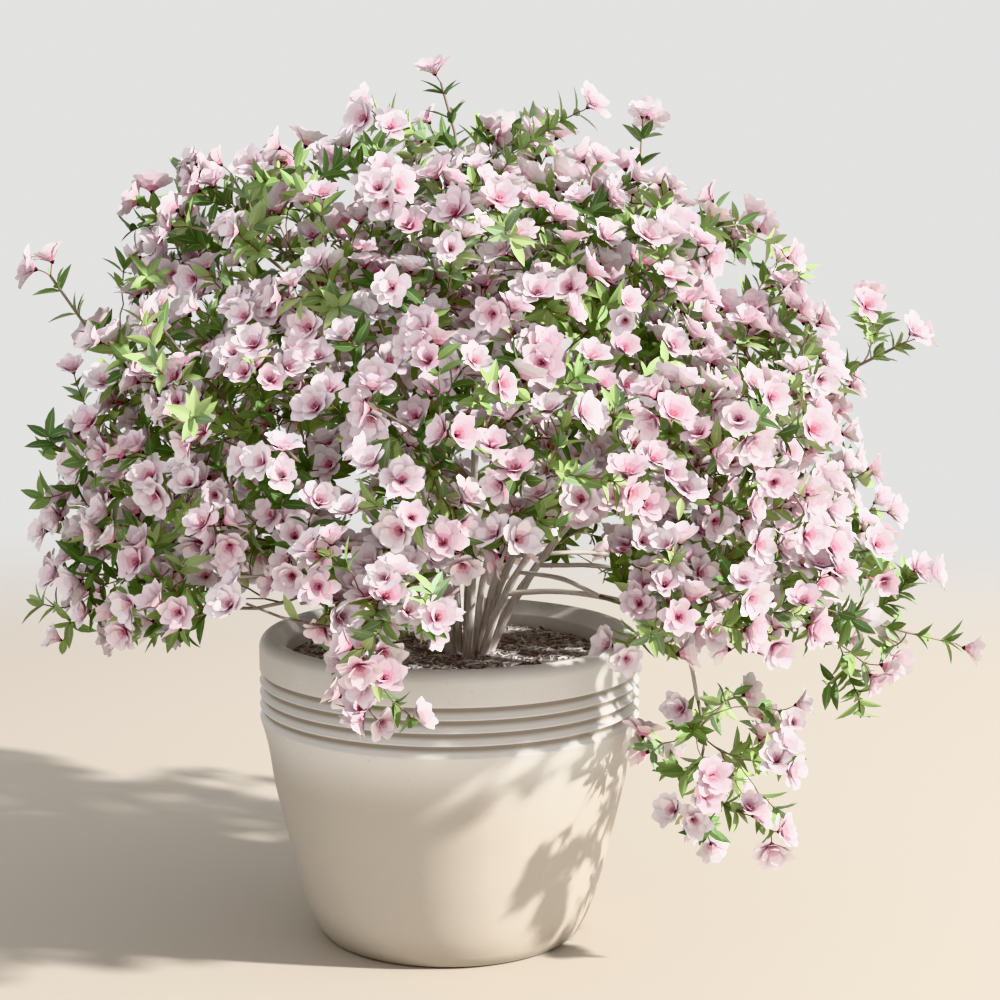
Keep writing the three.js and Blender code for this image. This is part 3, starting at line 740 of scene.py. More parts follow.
def inside_cell(cell, points, reach_share, slack=0.0):
    """Past the core, within a share of the crown's reach, above the skirt and off the planter."""
    if cell.centre is not None:
        near = lengths(points - cell.centre) < TRAIL_RADIUS + slack
        return near & (points[..., 2] < TRAIL_SHELF)
    out = points - HUB
    in_cone = (side_margin(cell, points) > CLEARANCE - slack) & (out @ cell.axis > CORE_REACH - slack)
    wide = np.hypot(points[..., 0], points[..., 1]) > POT_RADIUS + POT_GUARD - slack
    off_pot = wide | (points[..., 2] > POT_HEIGHT + POT_GUARD - slack)
    above_skirt = points[..., 2] > skirt_level(points) - slack
    return in_cone & (crown_reach(out) < reach_share) & above_skirt & off_pot


for angle, reach in SHOOTS:
    across, up = reach * np.cos(np.radians(angle)), reach * np.sin(np.radians(angle))
    line = HUB + np.stack([across + 0 * SHOOT_DEPTHS, SHOOT_DEPTHS, up + 0 * SHOOT_DEPTHS], axis=-1)
    margins = np.array([side_margin(cell, line) for cell in cells])
    best_cell, best_depth = np.unravel_index(margins.argmax(), margins.shape)
    cells[best_cell].shoots.append(line[best_depth])
print(len(cells), "cells and", len(SHOOTS), "shoots that reach past the mound")

# %% [markdown]
# ## Stems and boughs
#
# Azalea stems are slim, grey-brown and finely ridged along their length. Each limb is a tube that
# is carried along its curve: rings at right angles to it, which taper from foot to tip. The bark
# is relief, not a picture. Ridges run along the limb and drift slowly round it, and a few knots
# swell it. Side boughs start inside the stem that bears them, so no gap shows at the fork.

# %% Limbs
limbs = []


def add_limb(name, curve, foot_radius, tip_radius, flare=1.0, parent=None):
    """Adds a limb whose radius runs evenly from foot to tip, with a root flare that fades."""
    def radius_at(share):
        return blend(foot_radius, tip_radius, share) * blend(1, flare, np.exp(-14 * share))

    count = int(np.ceil(curve.length / (2 * foot_radius)))
    shares = np.arange(count + 1) / count
    entry = SimpleNamespace(name=name, curve=curve, radius_at=radius_at, tip_radius=tip_radius,
                            parent=parent, samples=curve.at(shares), radii=radius_at(shares))
    limbs.append(entry)
    return entry


def mass_entry(cell, back):
    return HUB + cell.axis * (CORE_REACH - CLEARANCE - back)


def stem_to(cell, index):
    """A main stem: from its foot, up through a leaning rise, and straight into its mass."""
    chance = Chance(100 + index)
    outward = from_angles(cell.azimuth, 0)
    foot = CLUMP + outward * cell.ring.foot_ring + UP * CLEARANCE
    rise = blend(foot, mass_entry(cell, 0), STEM_RISE) - outward * cell.ring.tuck
    rise = rise + chance.direction() * (STEM_SWAY if cell.ring.foot_ring > 0 else 0)
    curve = Curve([foot, rise, mass_entry(cell, LEAD_IN), mass_entry(cell, 0)])
    foot_radius = cell.ring.foot_radius * chance.between(0.84, 1.06)
    return add_limb(f"main_stem_{index}", curve, foot_radius, STEM_TIP_RADIUS, STEM_FLARE)


def bough_to(cell, index, parent, fork_share):
    """A side bough: it leaves its stem at a share of the stem's length and arches to its mass."""
    arch = mass_entry(cell, LEAD_IN) + UP * BOUGH_ARCH
    curve = Curve([parent.curve.at(fork_share)[0], arch, mass_entry(cell, 0)])
    foot_radius = BOUGH_SHARE * parent.radius_at(fork_share)
    return add_limb(f"side_bough_{index}", curve, foot_radius, BOUGH_TIP_RADIUS, parent=parent)


rooted = [cell for cell in cells if cell.ring.name != "lower"]
hanging = [cell for cell in cells if cell.ring.name == "lower"]
middle = [cell for cell in cells if cell.ring.name == "middle"]
for index, cell in enumerate(rooted, start=1):
    cell.limb = stem_to(cell, index)

forks_taken = [0] * len(middle)
for index, cell in enumerate(hanging, start=1):
    gaps = [abs((other.azimuth - cell.azimuth + 180) % 360 - 180) for other in middle]
    carrier = int(np.argmin(gaps))
    cell.limb = bough_to(cell, index, middle[carrier].limb, BOUGH_FORKS[forks_taken[carrier]])
    forks_taken[carrier] += 1

trail_parent = middle[1].limb
trail_curve = Curve([trail_parent.curve.at(TRAIL_FORK)[0], *TRAIL_ROUTE])
trail_cell = SimpleNamespace(name="foliage_trailing", ring=RINGS[3], centre=TRAIL_CENTRE, shoots=[])
trail_cell.limb = add_limb(
    "trailing_bough", trail_curve, TRAIL_FOOT_RADIUS, TRAIL_TIP_RADIUS, parent=trail_parent)
limb_points = np.vstack([entry.samples for entry in limbs])
limb_radii = np.concatenate([entry.radii for entry in limbs])
limb_owner = np.concatenate([np.full(len(entry.samples), i) for i, entry in enumerate(limbs)])
print(len(limbs), "limbs, of which", len(rooted), "rise from the soil")


# %% Tubes
def carried_frames(paths):
    """Two directions across each path, turned along it without twist: paths are (n, steps, 3)."""
    headings = unit(np.gradient(paths, axis=1))
    steep = np.abs(headings[:, 0, 2]) > 0.9
    side = np.where(steep[:, None], [1.0, 0, 0], [0, 0, 1.0])
    sides = []
    for step in range(paths.shape[1]):
        heading = headings[:, step]
        side = unit(side - heading * np.sum(side * heading, axis=-1, keepdims=True))
        sides.append(side)
    first = np.stack(sides, axis=1)
    return first, np.cross(headings, first)


def tubes(paths, radii, sides, relief=0.0):
    """Closed tubes: each ring is a circle across its path, scaled by radii (n, steps) and relief.

    The points are the path plus the ring's two directions times the cosine and sine of the turn,
    times the radius. Each end is closed by one more point.
    """
    turn = np.linspace(0, 2 * np.pi, sides, endpoint=False)
    first, second = carried_frames(paths)
    spokes = first[:, :, None] * np.cos(turn)[:, None] + second[:, :, None] * np.sin(turn)[:, None]
    rings = paths[:, :, None] + spokes * (radii[:, :, None] * (1 + relief))[..., None]
    count, steps = paths.shape[:2]
    points = np.concatenate([rings.reshape(count, -1, 3), paths[:, :1], paths[:, -1:]], axis=1)
    last = (steps - 1) * sides + np.arange(sides)
    ends = [fan_faces(np.arange(sides), steps * sides, False), fan_faces(last, steps * sides + 1, True)]
    return points, np.vstack([grid_faces(steps - 1, sides, closed=True), *ends])


# %% Bark as relief
STEM_RINGS = 80
STEM_SIDES = 22
BOUGH_RINGS = 48
BOUGH_SIDES = 16
ROOTED_DEPTH = 0.004
ROOTED_FLARE = 1.12
RIDGES = ((3, 0.055, 0.16), (5, 0.040, 0.11), (8, 0.032, 0.07), (13, 0.022, 0.05))
KNOTS = 4
KNOT_RISE = 0.10
KNOT_LENGTH = 0.006


def bark_relief(shares, turns, length, seed):
    """Ridges along the limb, as a share of its radius: sines round it whose phase drifts."""
    chance = np.random.default_rng(seed)
    along, around = np.meshgrid(shares * length, turns, indexing="ij")
    relief = 0 * along
    for waves, depth, drift in RIDGES:
        phase, shift = chance.uniform(0, 2 * np.pi, 2)
        relief += depth * np.sin(waves * around + phase + 2.2 * np.sin(2 * np.pi * along / drift + shift))
    for place in chance.uniform(0.1, 0.95, KNOTS):
        relief += KNOT_RISE * np.exp(-(((along / length - place) * length / KNOT_LENGTH) ** 2))
    return relief


def bark_tube(heap, entry, rings, sides, seed):
    """One limb with its relief, and for each point where it lies along the grain."""
    shares = np.linspace(0, 1, rings)
    turns = np.linspace(0, 2 * np.pi, sides, endpoint=False)
    path, radii = entry.curve.at(shares), entry.radius_at(shares)
    if entry.parent is None:
        path = np.vstack([path[0] - UP * ROOTED_DEPTH, path])
        radii = np.concatenate([radii[:1] * ROOTED_FLARE, radii])
        shares = np.concatenate([[0], shares])
    relief = bark_relief(shares, turns, entry.curve.length, seed)[None]
    heap.add(*tubes(path[None], radii[None], sides, relief))
    along = np.repeat(shares * entry.curve.length, sides)
    around = [np.tile(np.cos(turns), len(shares)), np.tile(np.sin(turns), len(shares))]
    grain = np.stack([*around, along + seed], axis=-1)
    return np.vstack([grain, grain[:1], grain[-1:]])


# %% [markdown]
# ## Bark
#
# Young azalea bark is grey-brown with darker streaks along the limb, and lichen-pale where it is
# old. The streaks follow the grain: the pattern reads an attribute that holds the turn round the
# limb as a point on a circle and the length along it, so it closes without a seam.

# %% Bark
def bark():
    paint = Paint("azalea_bark", Specular_IOR_Level=0.25)
    streaks = paint.noise(paint.place((1.6, 1.6, 22.0), "grain"), 2.6, 5, 0.65)
    patches = paint.noise(paint.place(), 34.0, 3)
    stops = [(0.3, linear(164, 154, 147)), (0.5, linear(204, 195, 188)), (0.7, linear(231, 225, 219))]
    body = paint.ramp(streaks, stops)
    paint.colour(paint.mix(body, linear(224, 217, 211), paint.mask(patches, 0.56, 0.74) * 0.55))
    paint.roughness(0.74 + streaks * 0.2)
    paint.bump(streaks, 0.0012, 0.7)
    return paint.material


bark_finish = bark()
stems_heap, boughs_heap = Heap(), Heap()
stem_grain, bough_grain = [], []
for seed, entry in enumerate(limbs):
    if entry.parent is None:
        stem_grain.append(bark_tube(stems_heap, entry, STEM_RINGS, STEM_SIDES, seed))
    else:
        bough_grain.append(bark_tube(boughs_heap, entry, BOUGH_RINGS, BOUGH_SIDES, seed))
stems = stems_heap.to_object("main_stems", [bark_finish], stem_grain)
boughs = boughs_heap.to_object("side_boughs", [bark_finish], bough_grain)
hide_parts(*[entry.name for entry in limbs if entry.parent is None])
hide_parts(*[entry.name for entry in limbs if entry.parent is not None])
for piece in (stems, boughs):
    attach(piece, "root")

# %% [markdown]
# ## How a mass grows
#
# In each cell the ends of the twigs are chosen first, each as far as it can be from the others.
# Then the farthest end gets the main twig, and the rest are joined from the nearest outwards,
# each from the fork that costs the least length and bend. That is the CAD's rule. Its few coarse
# ends grow first here too, and then the rule goes on with many finer ends inside the same cell,
# which carry the leaves and the blossoms that are too small for the CAD.

# %% Rule of growth
COARSE_TIPS = 5
FINE_TIPS = {"top": 50, "upper": 52, "middle": 50, "lower": 30}
TRAIL_TIPS = 12
BLOSSOM_GUARD = 0.042
COARSE = SimpleNamespace(
    is_fine=False, tries=40, patience=1, spread=0.42, shell=(0.62, 0.94), power=0.6,
    side_room=0.8 * BLOSSOM_GUARD, skirt_room=0.45 * BLOSSOM_GUARD, thinnest=0.00075,
    whorls=(0.52, 0.76, 1.0))
FINE = SimpleNamespace(
    is_fine=True, tries=12, patience=40, spread=0.52, shell=(0.55, 1.0), power=0.42,
    side_room=0.006, skirt_room=0.012, thinnest=0.0007, whorls=(0.72, 1.0))
CROWN_DENTS = 0.19
TWIG_REACH = 1.04
TWIG_TAPER = 0.55
TWIG_BOW = 0.16
TWIG_KINK = 0.018
TWIG_STEPS = 6
MAIN_AHEAD = 0.6
FORK_SHARE = 0.55
FORK_BEND = 0.5
FORK_PATH = 0.35
FORK_CHOICES = 5


def dented(point):
    """The point drawn in towards the hub by up to a fifth, by crossing waves of its direction."""
    x, y, z = unit(point - HUB)
    wave = np.sin(9 * x + 1.1) * np.sin(8 * y + 0.6) + np.sin(11 * z + 5 * x) * np.sin(7 * y - 6 * z + 2)
    return HUB + (point - HUB) * (1 - CROWN_DENTS * np.clip(0.45 - 0.5 * wave, 0, 1))


def candidate(cell, chance, rule):
    """A point in the trailing ball, or in the cell's direction at a share of the way to the shell."""
    if cell.centre is not None:
        return TRAIL_CENTRE + chance.direction() * TRAIL_FILL * TRAIL_RADIUS * np.cbrt(chance.next())
    direction = unit(cell.axis + chance.direction() * rule.spread)
    shell = 1 / crown_reach(direction)
    point = HUB + direction * shell * blend(*rule.shell, chance.next() ** rule.power)
    return dented(point) if rule.is_fine else point


def is_roomy(cell, point, rule):
    """Far enough inside the cell for what grows there."""
    if not inside_cell(cell, point, 1) or (rule.is_fine and shows_rim(point)):
        return False
    if cell.centre is not None:
        return True
    return side_margin(cell, point) > rule.side_room and point[2] - skirt_level(point) > rule.skirt_room


def spread_targets(cell, chance, targets, count, rule):
    """Adds a count of targets one by one: of several candidates, the one farthest from the rest."""
    targets, patience = list(targets), rule.patience
    while len(targets) < count and patience > 0:
        best_gap, best = -1, None
        taken = np.array(targets).reshape(-1, 3)
        for _ in range(rule.tries):
            point = candidate(cell, chance, rule)
            gap = min([4 * TRAIL_RADIUS, *lengths(taken - point)])
            if gap > best_gap and is_roomy(cell, point, rule):
                best_gap, best = gap, point
        if best is None:
            patience -= 1
        else:
            targets.append(best)
    return targets


# %% Paths of twigs
def near_limb(starts, ends, radius, own=None):
    """Whether round-ended stretches, given as arrays of ends, come too near a limb."""
    starts, ends = np.atleast_2d(starts), np.atleast_2d(ends)
    keep = np.ones(len(limb_points), dtype=bool) if own is None else limb_owner != limbs.index(own)
    points, radii = limb_points[keep], limb_radii[keep]
    starts, line = starts[:, None], (ends - starts)[:, None]
    squares = np.maximum((line**2).sum(axis=-1), 1e-12)
    share = np.clip(((points[None] - starts) * line).sum(axis=-1) / squares, 0, 1)
    gaps = lengths(starts + share[..., None] * line - points[None])
    return (gaps < radius + radii + LIMB_GUARD).any(axis=1)


def drawn(start, control, end, t):
    """Points of the quadratic curve from start to end that bows towards a control point."""
    return (1 - t) ** 2 * start + 2 * t * (1 - t) * control + t**2 * end


def bent(start, control, end, dice):
    """A twig's path: a curve drawn to one control point, with small kinks between its ends."""
    t = np.linspace(0, 1, TWIG_STEPS + 1)[:, None]
    path = drawn(start, control, end, t)
    kink = TWIG_KINK * lengths(end - start) * np.sin(np.pi * t)
    return path + kink * dice.normal(size=path.shape)


def main_control(start, end, heading):
    """The main twig carries straight on from its bough, and halfway it turns to its target."""
    chord = end - start
    ahead = max(heading @ chord, MAIN_AHEAD * lengths(chord))
    return start + heading * (chord @ chord) / (2 * ahead)


def side_control(start, end, heading):
    """A side twig bows towards the way its parent grows."""
    chord = end - start
    aside = heading - chord * (heading @ chord) / (chord @ chord)
    return (start + end) / 2 + aside * 2 * TWIG_BOW * lengths(chord)


def choose_fork(cell, forks, target, reach_share, is_main, dice):
    """The cheapest fork whose twig stays in its cell and clear of the limbs, with the twig's path."""
    points, ways = np.array([f[0] for f in forks]), np.array([f[1] for f in forks])
    chord = target - points
    length = lengths(chord)
    bend = np.arccos(np.clip((ways * chord).sum(axis=1) / length, -1, 1))
    cost = length * (1 + FORK_BEND * bend) + FORK_PATH * np.array([f[2] for f in forks])
    for index in cost.argsort()[:FORK_CHOICES]:
        fork = forks[index]
        control = (main_control if is_main else side_control)(fork[0], target, fork[1])
        path = bent(fork[0], control, target, dice)
        if near_limb(path[:-1], path[1:], 0.001, cell.limb if is_main else None).any():
            continue
        if is_main or inside_cell(cell, path[TWIG_STEPS // 2], reach_share, 0.004):
            return fork, path
    return None


# %% [markdown]
# ## What a twig carries
#
# Near its end each twig has whorls of four or five leaves, which spread round it and lean
# forwards. Past the last whorl a few thin stalks fan out, each with a blossom that faces up and
# away from the middle of the plant. Some twigs have leaves only, and a leaf that would stand up
# inside a blossom is left out. Each leaf and blossom is noted as a place and a direction here,
# and the shapes are set on them later, all together.

# %% Leaves of a twig
SHOOT_WHORLS = (0.42, 0.54, 0.66, 0.77, 0.87, 0.96)
WHORL_SIZES = (4, 6)
LEAF_LENGTHS = (0.021, 0.032)
LEAF_LEAN = (0.55, 1.30)
GREEN_TINTS = [(92, 118, 74), (102, 130, 80), (116, 142, 87), (130, 155, 96), (142, 166, 106),
               (157, 180, 118), (134, 156, 119), (170, 188, 132)]
GREENS = len(GREEN_TINTS)


def perpendicular(heading):
    """Two directions at right angles to a heading and to each other."""
    side = unit(np.cross(heading, [0.31, 0.17, 0.93]))
    return side, np.cross(heading, side)


def whorls_on(cell, path, reach_share, spray, dice, shares):
    """Leaves round the twig: equal turns with a little chance, each leaning forwards.

    Each is a row of its root, its way, its upper side, its length and its green.
    """
    headings = unit(np.gradient(path, axis=0))
    rows = []
    for share in shares:
        count = dice.integers(*WHORL_SIZES)
        low = min(int(share * TWIG_STEPS), TWIG_STEPS - 1)
        past = share * TWIG_STEPS - low
        heading = unit(blend(headings[low], headings[low + 1], past))
        side, other = perpendicular(heading)
        turn = dice.uniform(0, 2 * np.pi) + 2 * np.pi * np.arange(count) / count + dice.normal(0, 0.22, count)
        lean = dice.uniform(*LEAF_LEAN, count)[:, None]
        outward = side * np.cos(turn)[:, None] + other * np.sin(turn)[:, None]
        way = unit(heading * np.cos(lean) + outward * np.sin(lean) + UP * 0.16)
        root = blend(path[low], path[low + 1], past) + heading * dice.uniform(-0.004, 0.002, (count, 1))
        normal = heading - way * (way @ heading)[:, None] + 0.25 * dice.normal(size=(count, 3))
        length = dice.uniform(*LEAF_LENGTHS, (count, 1))
        green = np.clip(spray + dice.integers(-1, 2, (count, 1)), 0, GREENS - 1)
        rows.append(np.hstack([root, way, normal, length, green]))
    rows = np.vstack(rows)
    roots, tips = rows[:, :3], rows[:, :3] + rows[:, 3:6] * rows[:, 9:10]
    fits = inside_cell(cell, tips, reach_share + 0.04, 0.006)
    return rows[fits & ~near_limb(roots, tips, 0.002) & ~shows_rim(tips)]


# %% Blossoms of a twig
STALK_LENGTHS = (0.009, 0.020)
STALK_LEAN = (0.50, 1.20)
BLOSSOM_GAP = 0.0188
BLOSSOM_REACH = 1.01
BLOSSOM_CUP = 0.0125
BLOSSOM_HEART = 0.008
BLOSSOM_RADIUS = 0.016
LEAFY_SHARE = 0.20
FACING_OUT = np.array([0.55, 0.55, 0.0])


def add_blossoms(cell, tip, heading, reach_share, count, tint, growth, dice, hearts):
    """Stalks that fan out past the twig's end, each with a blossom that faces outwards."""
    outward = unit(tip - (HUB if cell.centre is None else cell.centre))
    side, other = perpendicular(heading)
    start_turn = dice.uniform(0, 2 * np.pi)
    for k in range(count):
        turn = start_turn + 2 * np.pi * k / count + dice.normal(0, 0.3)
        lean = dice.uniform(*STALK_LEAN) if count > 1 else dice.uniform(0, 0.4)
        way = heading * np.cos(lean) + (side * np.cos(turn) + other * np.sin(turn)) * np.sin(lean)
        way = unit(way + outward * 0.35 + UP * 0.1)
        seat = tip + way * dice.uniform(*STALK_LENGTHS)
        facing = unit(way * 0.8 + outward * FACING_OUT + UP * 0.45 + dice.normal(0, 0.4, 3))
        heart = seat + facing * BLOSSOM_HEART
        if not inside_cell(cell, heart, reach_share - TWIG_REACH + BLOSSOM_REACH, 0.004) or shows_rim(heart):
            continue
        if near_limb(heart, heart, BLOSSOM_RADIUS)[0]:
            continue
        if hearts and lengths(np.array(hearts) - heart).min() < BLOSSOM_GAP:
            continue
        hearts.append(heart)
        halfway = (tip + seat) / 2 + heading * 0.12 * lengths(seat - tip) - facing * 0.002
        growth.stalks.append(np.stack([tip, halfway, seat]))
        growth.blossoms.append(np.concatenate([seat, facing, [tint]]))


def inside_blossom(leaves, hearts):
    """Whether a leaf, tested at three places along it, would stand up inside a blossom."""
    roots, reach = leaves[:, :3], leaves[:, 3:6] * leaves[:, 9:10]
    places = roots[:, None] + reach[:, None] * np.array([0.4, 0.7, 1.0])[:, None]
    return (lengths(places[:, :, None] - hearts) < BLOSSOM_CUP).any(axis=(1, 2))


# %% Growth of one mass
def grow_mass(cell, seed, growth):
    """Grows the CAD's coarse twigs first and then the finer ones, and notes what each carries."""
    chance, dice = Chance(seed), np.random.default_rng(seed)
    heading = cell.limb.curve.heading(1)[0]
    start = cell.limb.curve.at(1)[0] + heading * CLEARANCE
    fine_count = TRAIL_TIPS if cell.centre is not None else FINE_TIPS[cell.ring.name]
    coarse = spread_targets(cell, chance, cell.shoots, COARSE_TIPS, COARSE)
    fine = spread_targets(cell, chance, coarse, len(coarse) + fine_count, FINE)[len(coarse):]
    twigs, leaves, hearts = [], [], []
    forks = [(start, heading, 0.0, cell.limb.tip_radius)]
    for targets, rule in ((coarse, COARSE), (fine, FINE)):
        targets = sorted(targets, key=lambda point: lengths(point - start))
        while targets:
            is_main = not rule.is_fine and not twigs
            target = targets.pop() if is_main else targets.pop(0)
            is_shoot = any(target is shoot for shoot in cell.shoots)
            reach_share = SHOOT_SLACK if is_shoot else TWIG_REACH
            chosen = choose_fork(cell, forks, target, reach_share, is_main, dice)
            if chosen is None:
                continue
            fork, path = chosen
            root = fork[3] if is_main else max(rule.thinnest, FORK_SHARE * fork[3])
            tip = max(rule.thinnest, TWIG_TAPER * root)
            twigs.append((path, root, tip))
            forks = [f for f in forks if f is not fork]
            headings = unit(np.gradient(path, axis=0))
            chord_length = lengths(path[-1] - path[0])
            for step in range(1, TWIG_STEPS):
                share = step / TWIG_STEPS
                way_back = fork[2] + share * chord_length
                forks.append((path[step], headings[step], way_back, blend(root, tip, share)))

            spray, tint = int(dice.integers(0, GREENS)), int(dice.integers(0, 3))
            whorls = SHOOT_WHORLS if is_shoot else rule.whorls
            leaves.append(whorls_on(cell, path, reach_share, spray, dice, whorls))
            is_leafy = rule.is_fine and dice.random() < LEAFY_SHARE
            count = 0 if is_leafy else 2 if is_shoot else int(dice.integers(2, 5))
            add_blossoms(cell, target, headings[-1], reach_share, count, tint, growth, dice, hearts)
    leaves = np.vstack(leaves)
    growth.leaves.append(leaves[~inside_blossom(leaves, np.array(hearts))])
    growth.twigs.extend(twigs)


def level_of(cell):
    """Which part of the crown a mass is joined to, so that no piece has too many triangles."""
    if cell.ring.name == "middle":
        return "front" if cell.axis[1] < 0.01 else "back"
    return "lower" if cell.ring.name == "lower" else "upper"


crown = {}
for level in ("upper", "front", "back", "lower"):
    crown[level] = SimpleNamespace(twigs=[], leaves=[], blossoms=[], stalks=[], nodes=[])
for seed, cell in enumerate([*cells, trail_cell], start=1):
    growth = crown[level_of(cell)]
    growth.nodes.append(cell.name)
    grow_mass(cell, seed, growth)
for level, growth in crown.items():
    leaf_count = sum(len(item) for item in growth.leaves)
    print(f"{level}: {len(growth.twigs)} twigs, {leaf_count} leaves, {len(growth.blossoms)} blossoms")

# %% [markdown]
# ## Twigs and stalks
#
# Every twig has the same number of rings, so all the twigs of a level are one array of paths and
# become tubes in one go. Old wood is grey-brown, new wood redder, and the stalks of the blossoms
# are thin, olive to dark red. Each twig and stalk gets one of a few plain tints.

# %% Twigs and stalks
TWIG_SIDES = 5
STALK_SIDES = 4
STALK_RINGS = 5
STALK_RADIUS = 0.00055
OLD_WOOD_RADIUS = 0.0011
WOOD_TINTS = [(150, 138, 126), (134, 121, 110), (120, 99, 90), (138, 111, 98), (160, 143, 124)]
STALK_TINTS = [(134, 112, 76), (150, 104, 92), (104, 62, 56)]
wood_finishes = plain_set("twig_bark", WOOD_TINTS, 0.72) + plain_set("stalk_skin", STALK_TINTS, 0.55)


def wood_of(level, growth, dice):
    heap = Heap()
    paths = np.array([twig[0] for twig in growth.twigs])
    share = np.linspace(0, 1, TWIG_STEPS + 1)
    roots, tips = (np.array([twig[i] for twig in growth.twigs])[:, None] for i in (1, 2))
    is_old = roots[:, 0] > OLD_WOOD_RADIUS
    tint = np.where(is_old, dice.integers(0, 2, len(paths)), dice.integers(1, 5, len(paths)))
    heap.add(*tubes(paths, blend(roots, tips, share), TWIG_SIDES), tint[:, None])
    first, centre, last = (np.array(growth.stalks)[:, i : i + 1] for i in range(3))
    t = np.linspace(0, 1, STALK_RINGS)[None, :, None]
    stalks = drawn(first, 2 * centre - (first + last) / 2, last, t)
    tint = len(WOOD_TINTS) + dice.integers(0, len(STALK_TINTS), len(stalks))
    heap.add(*tubes(stalks, np.full(stalks.shape[:2], STALK_RADIUS), STALK_SIDES), tint[:, None])
    return heap.to_object(f"twigs_{level}", wood_finishes)


# %% [markdown]
# ## Leaves
#
# An azalea leaf is a small lance: widest a little before the middle, pointed at both ends, folded
# upwards along a pale midrib and arched down towards its tip. On a grid of four stretches by
# three strips that is: half-width by a sine of the length, height by the distance from the
# midrib less the square of the length. The middle strip is the midrib in its own paler finish.

# %% Leaf shape
LEAF_ROWS = 4
LEAF_WIDTH_SHARE = 0.37
LEAF_FOLD = 0.34
LEAF_ARCH = 0.16
RIB_SHARE = 0.06
RIB_TINTS = [(150, 174, 120), (182, 198, 148)]
leaf_finishes = plain_set("leaf_green", GREEN_TINTS, 0.5, Specular_IOR_Level=0.4)
leaf_finishes += plain_set("leaf_rib", RIB_TINTS, 0.55)


def leaf_template():
    """Points and faces of a leaf one unit long, which grows along x and faces z."""
    share = np.linspace(0, 1, LEAF_ROWS + 1)[:, None]
    half = LEAF_WIDTH_SHARE / 2 * (0.04 + 0.96 * np.sin(np.pi * share**0.82) ** 0.9)
    across = half * np.array([[-1, -RIB_SHARE, RIB_SHARE, 1]])
    rise = LEAF_FOLD * np.abs(across) - LEAF_ARCH * share**2
    points = np.stack([share + 0 * across, across, rise], axis=-1).reshape(-1, 3)
    return points, grid_faces(LEAF_ROWS, 3)


def leaves_of(level, growth):
    rows = np.vstack(growth.leaves)
    points, faces = leaf_template()
    is_rib = np.arange(len(faces)) % 3 == 1
    green = rows[:, 10:]
    slots = np.where(is_rib, GREENS + (green > 3), green).astype(int)
    sizes = np.repeat(rows[:, 9:10], 3, axis=1)
    heap = Heap()
    heap.add(placed(points, sizes, frames_from(rows[:, 3:6], rows[:, 6:9]), rows[:, :3]), faces, slots)
    return heap.to_object(f"leaves_{level}", leaf_finishes)


# %% [markdown]
# ## Blossoms
#
# The blossoms are loosely double: seven outer petals that open wide, and four smaller ones that
# stand up inside. A petal is a fan: it starts as a narrow claw, is widest near its end, and has a
# rounded, lobed rim. Its middle line is an arc of a circle, and it is cupped across. The rose of
# the throat stays in the inner third and fades to an almost white rim, so each row of faces has
# its own plain pink. Six shapes of blossom, each with its own chance, are enough: turned, sized
# and tinted differently, no two look the same.

# %% Petal
PETAL_LENGTH = 0.0214
PETAL_WIDTH = 0.0140
CLAW = 0.20
RIM_ROUND = 0.17
RIM_LOBES = 0.045
HEART_RADIUS = 0.0014
ROWS_AT = np.array([0, 0.28, 0.54, 0.80, 1.0])


def petal(length, width, lean, cup, ruffle, phase, columns):
    """One petal that grows in the xz plane, on a grid of rows along it by columns across.

    The lean from the blossom's axis rises evenly from lean[0] to lean[1], so the middle line is
    an arc: its distance out is the difference of two cosines over the change of lean, its height
    that of two sines. The half-width is a claw plus a sine of the length whose crest is near the
    end. The rim is drawn back towards its corners by the fourth power of the distance across,
    with lobes by a sine, and points off the middle line are lifted by the cup.
    """
    along = ROWS_AT[:, None]
    across = np.linspace(-1, 1, columns + 1)[None]
    rim = 1 - RIM_ROUND * across**4 + RIM_LOBES * np.sin(6.5 * across + phase)
    reach = along * blend(1, rim, along**2)
    change = lean[1] - lean[0]
    here = lean[0] + change * reach
    out = HEART_RADIUS + length / change * (np.cos(lean[0]) - np.cos(here))
    height = length / change * (np.sin(here) - np.sin(lean[0]))
    half = width / 2 * (CLAW + (1 - CLAW) * np.sin(0.69 * np.pi * along**1.2))
    lift = cup * across**2 * half + ruffle * length * along**2 * np.sin(2.6 * across + phase)
    points = [out - lift * np.cos(here), half * across + 0 * here, height + lift * np.sin(here)]
    return np.stack(points, axis=-1).reshape(-1, 3), grid_faces(len(ROWS_AT) - 1, columns)


# %% Shapes of blossom
BLOSSOM_SHAPES = 6
PINK_DEEP = np.array([220, 148, 174])
PINK_PALE = np.array([248, 240, 244])
PINKS = 9
OUTER = SimpleNamespace(count=7, columns=3, lean=(0.80, 1.32), size=1.0, shift=0.0, pinks=(1, 5, 7, 8))
INNER = SimpleNamespace(count=4, columns=3, lean=(0.45, 0.95), size=0.84, shift=0.5, pinks=(0, 4, 7, 8))
pink_steps = [(step / (PINKS - 1)) ** 0.62 for step in range(PINKS)]
pink_tints = [blend(PINK_DEEP, PINK_PALE, step) for step in pink_steps]
pink_finishes = plain_set("petal_pink", pink_tints, 0.55, Specular_IOR_Level=0.3)


def turned_about_z(points, angle):
    cosine, sine = np.cos(angle), np.sin(angle)
    return points @ np.array([[cosine, sine, 0], [-sine, cosine, 0], [0, 0, 1]])


